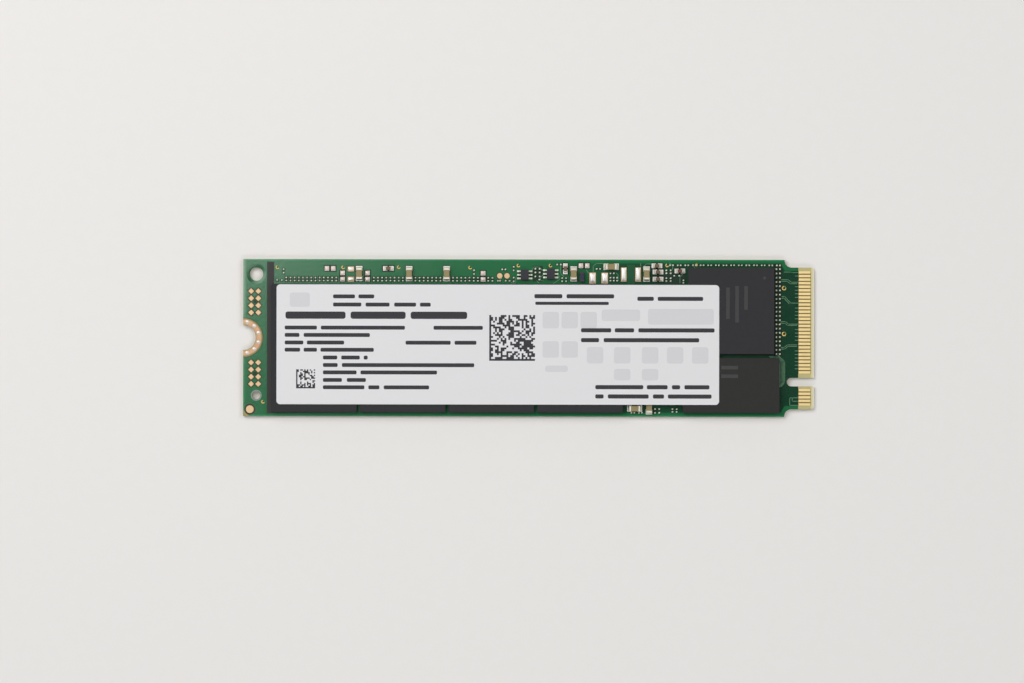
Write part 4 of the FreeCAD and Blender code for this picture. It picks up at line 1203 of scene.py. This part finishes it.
# Faint marks on the packages: left, bottom, right and top
MARKS = (
    (27.62, 2.7, 28.12, 7.1), (28.9, 2.2, 29.4, 7.3), (30.15, 4.0, 30.65, 7.3), (26.95, -4.35, 29.3, -3.85),
    (26.95, -5.55, 29.3, -5.05),
)
# The floor of the controller's pin mark
PIN_SPOT = (33.0, 8.45)
PIN_RADIUS = 0.23
PIN_DEPTH = 0.03


def code_square(drawing, dice, x, y, side, count, z):
    """A square of random modules with a solid edge on two sides."""
    module = side / count
    for i in range(count):
        for j in range(count):
            if i == 0 or j == 0 or dice.random() < DARK_SHARE:
                drawing.rectangle(x + (i + 0.5) * module, y + (j + 0.5) * module, module, module, z)


def label_print():
    """The label's printing."""
    level = LABEL_TOP + INK_LIFT
    drawing = Drawing()
    for y, height, bars in PRINT_ROWS:
        depth = height * BAR_SHARE
        for start, end in bars:
            drawing.bar((start + end) / 2, y, end - start, depth, level, depth * CORNER_SHARE)
    dice = random.Random(SEED)
    for code in CODES:
        code_square(drawing, dice, *code, level)
    drawing.place("label_print", ["print"], "black_ink")
    drawing = Drawing()
    for size, middles in FIELDS.items():
        for middle in middles:
            drawing.bar(*middle, *size, level, FIELD_CORNER)
    drawing.place("label_fields", ["field"], "label_film")


def package_marks():
    """Faint laser-marked bars on the controller and its memory, and the pale floor of the pin mark."""
    drawing = Drawing()
    for sides in MARKS:
        shade(drawing, *sides, PACKAGE_TOP + INK_LIFT)
    drawing.disc(*PIN_SPOT, PIN_RADIUS, PACKAGE_TOP - PIN_DEPTH + INK_LIFT)
    drawing.place("package_marks", ["mark"], "chip_mould")


label_print()
package_marks()


# Floor, light and camera

FLOOR_SIZE = 4000
FLOOR_DROP = 0.004
WALL_LIGHT = 0.39
CEILING_LIGHT = 0.06
CEILING_RISE = (0.25, 0.75)
LIGHT_COLOUR = (1.0, 0.996, 0.992)
# Soft panels that face straight down: place, size along X and Y, and power
PANELS = {
    "key": ((-250, 216, 460), (400, 400), 2.36),
    "fill": ((340, 130, 480), (380, 380), 1.12),
    "front": ((40, -330, 400), (420, 260), 0.72),
}


def lay_floor():
    """A plain pale floor under the card."""
    drawing = Drawing()
    drawing.rectangle(0, 0, FLOOR_SIZE, FLOOR_SIZE, -FLOOR_DROP)
    floor = drawing.finish("floor", ["floor"])


def light_room():
    """Pale walls under a dim ceiling, and soft panels."""
    world = bpy.data.worlds.new("studio")
    bpy.context.scene.world = world
    world.use_nodes = True
    tree = world.node_tree
    direction = add_node(tree, "ShaderNodeTexCoord").outputs["Generated"]
    height = add_node(tree, "ShaderNodeSeparateXYZ", {0: direction}).outputs[2]
    overhead = rise(height, *CEILING_RISE)
    dimming = product(overhead, WALL_LIGHT - CEILING_LIGHT)
    strength = maths("SUBTRACT", WALL_LIGHT, dimming)
    feed(tree.nodes["Background"], {"Color": (*LIGHT_COLOUR, 1.0), "Strength": strength})
    for name, (place, size, power) in PANELS.items():
        panel = bpy.data.lights.new(name, "AREA")
        panel.shape = "RECTANGLE"
        panel.size, panel.size_y = (side * MM for side in size)
        panel.energy = power
        panel.color = LIGHT_COLOUR
        add_object(name, panel).location = Vector(place) * MM


def set_camera():
    """A camera that looks straight down on the card."""
    data = bpy.data.cameras.new("camera")
    data.lens = LENS
    data.sensor_width = SENSOR
    data.clip_start, data.clip_end = (limit * MM for limit in CLIP)
    camera = add_object("camera", data)
    height = BOARD_TOP + VIEW_WIDTH * LENS / SENSOR
    camera.location = Vector((*VIEW_CENTRE, height)) * MM
    camera.rotation_euler = (0, 0, VIEW_TURN)
    bpy.context.scene.camera = camera


lay_floor()
light_room()
set_camera()
bpy.context.scene.view_settings.view_transform = "Standard"
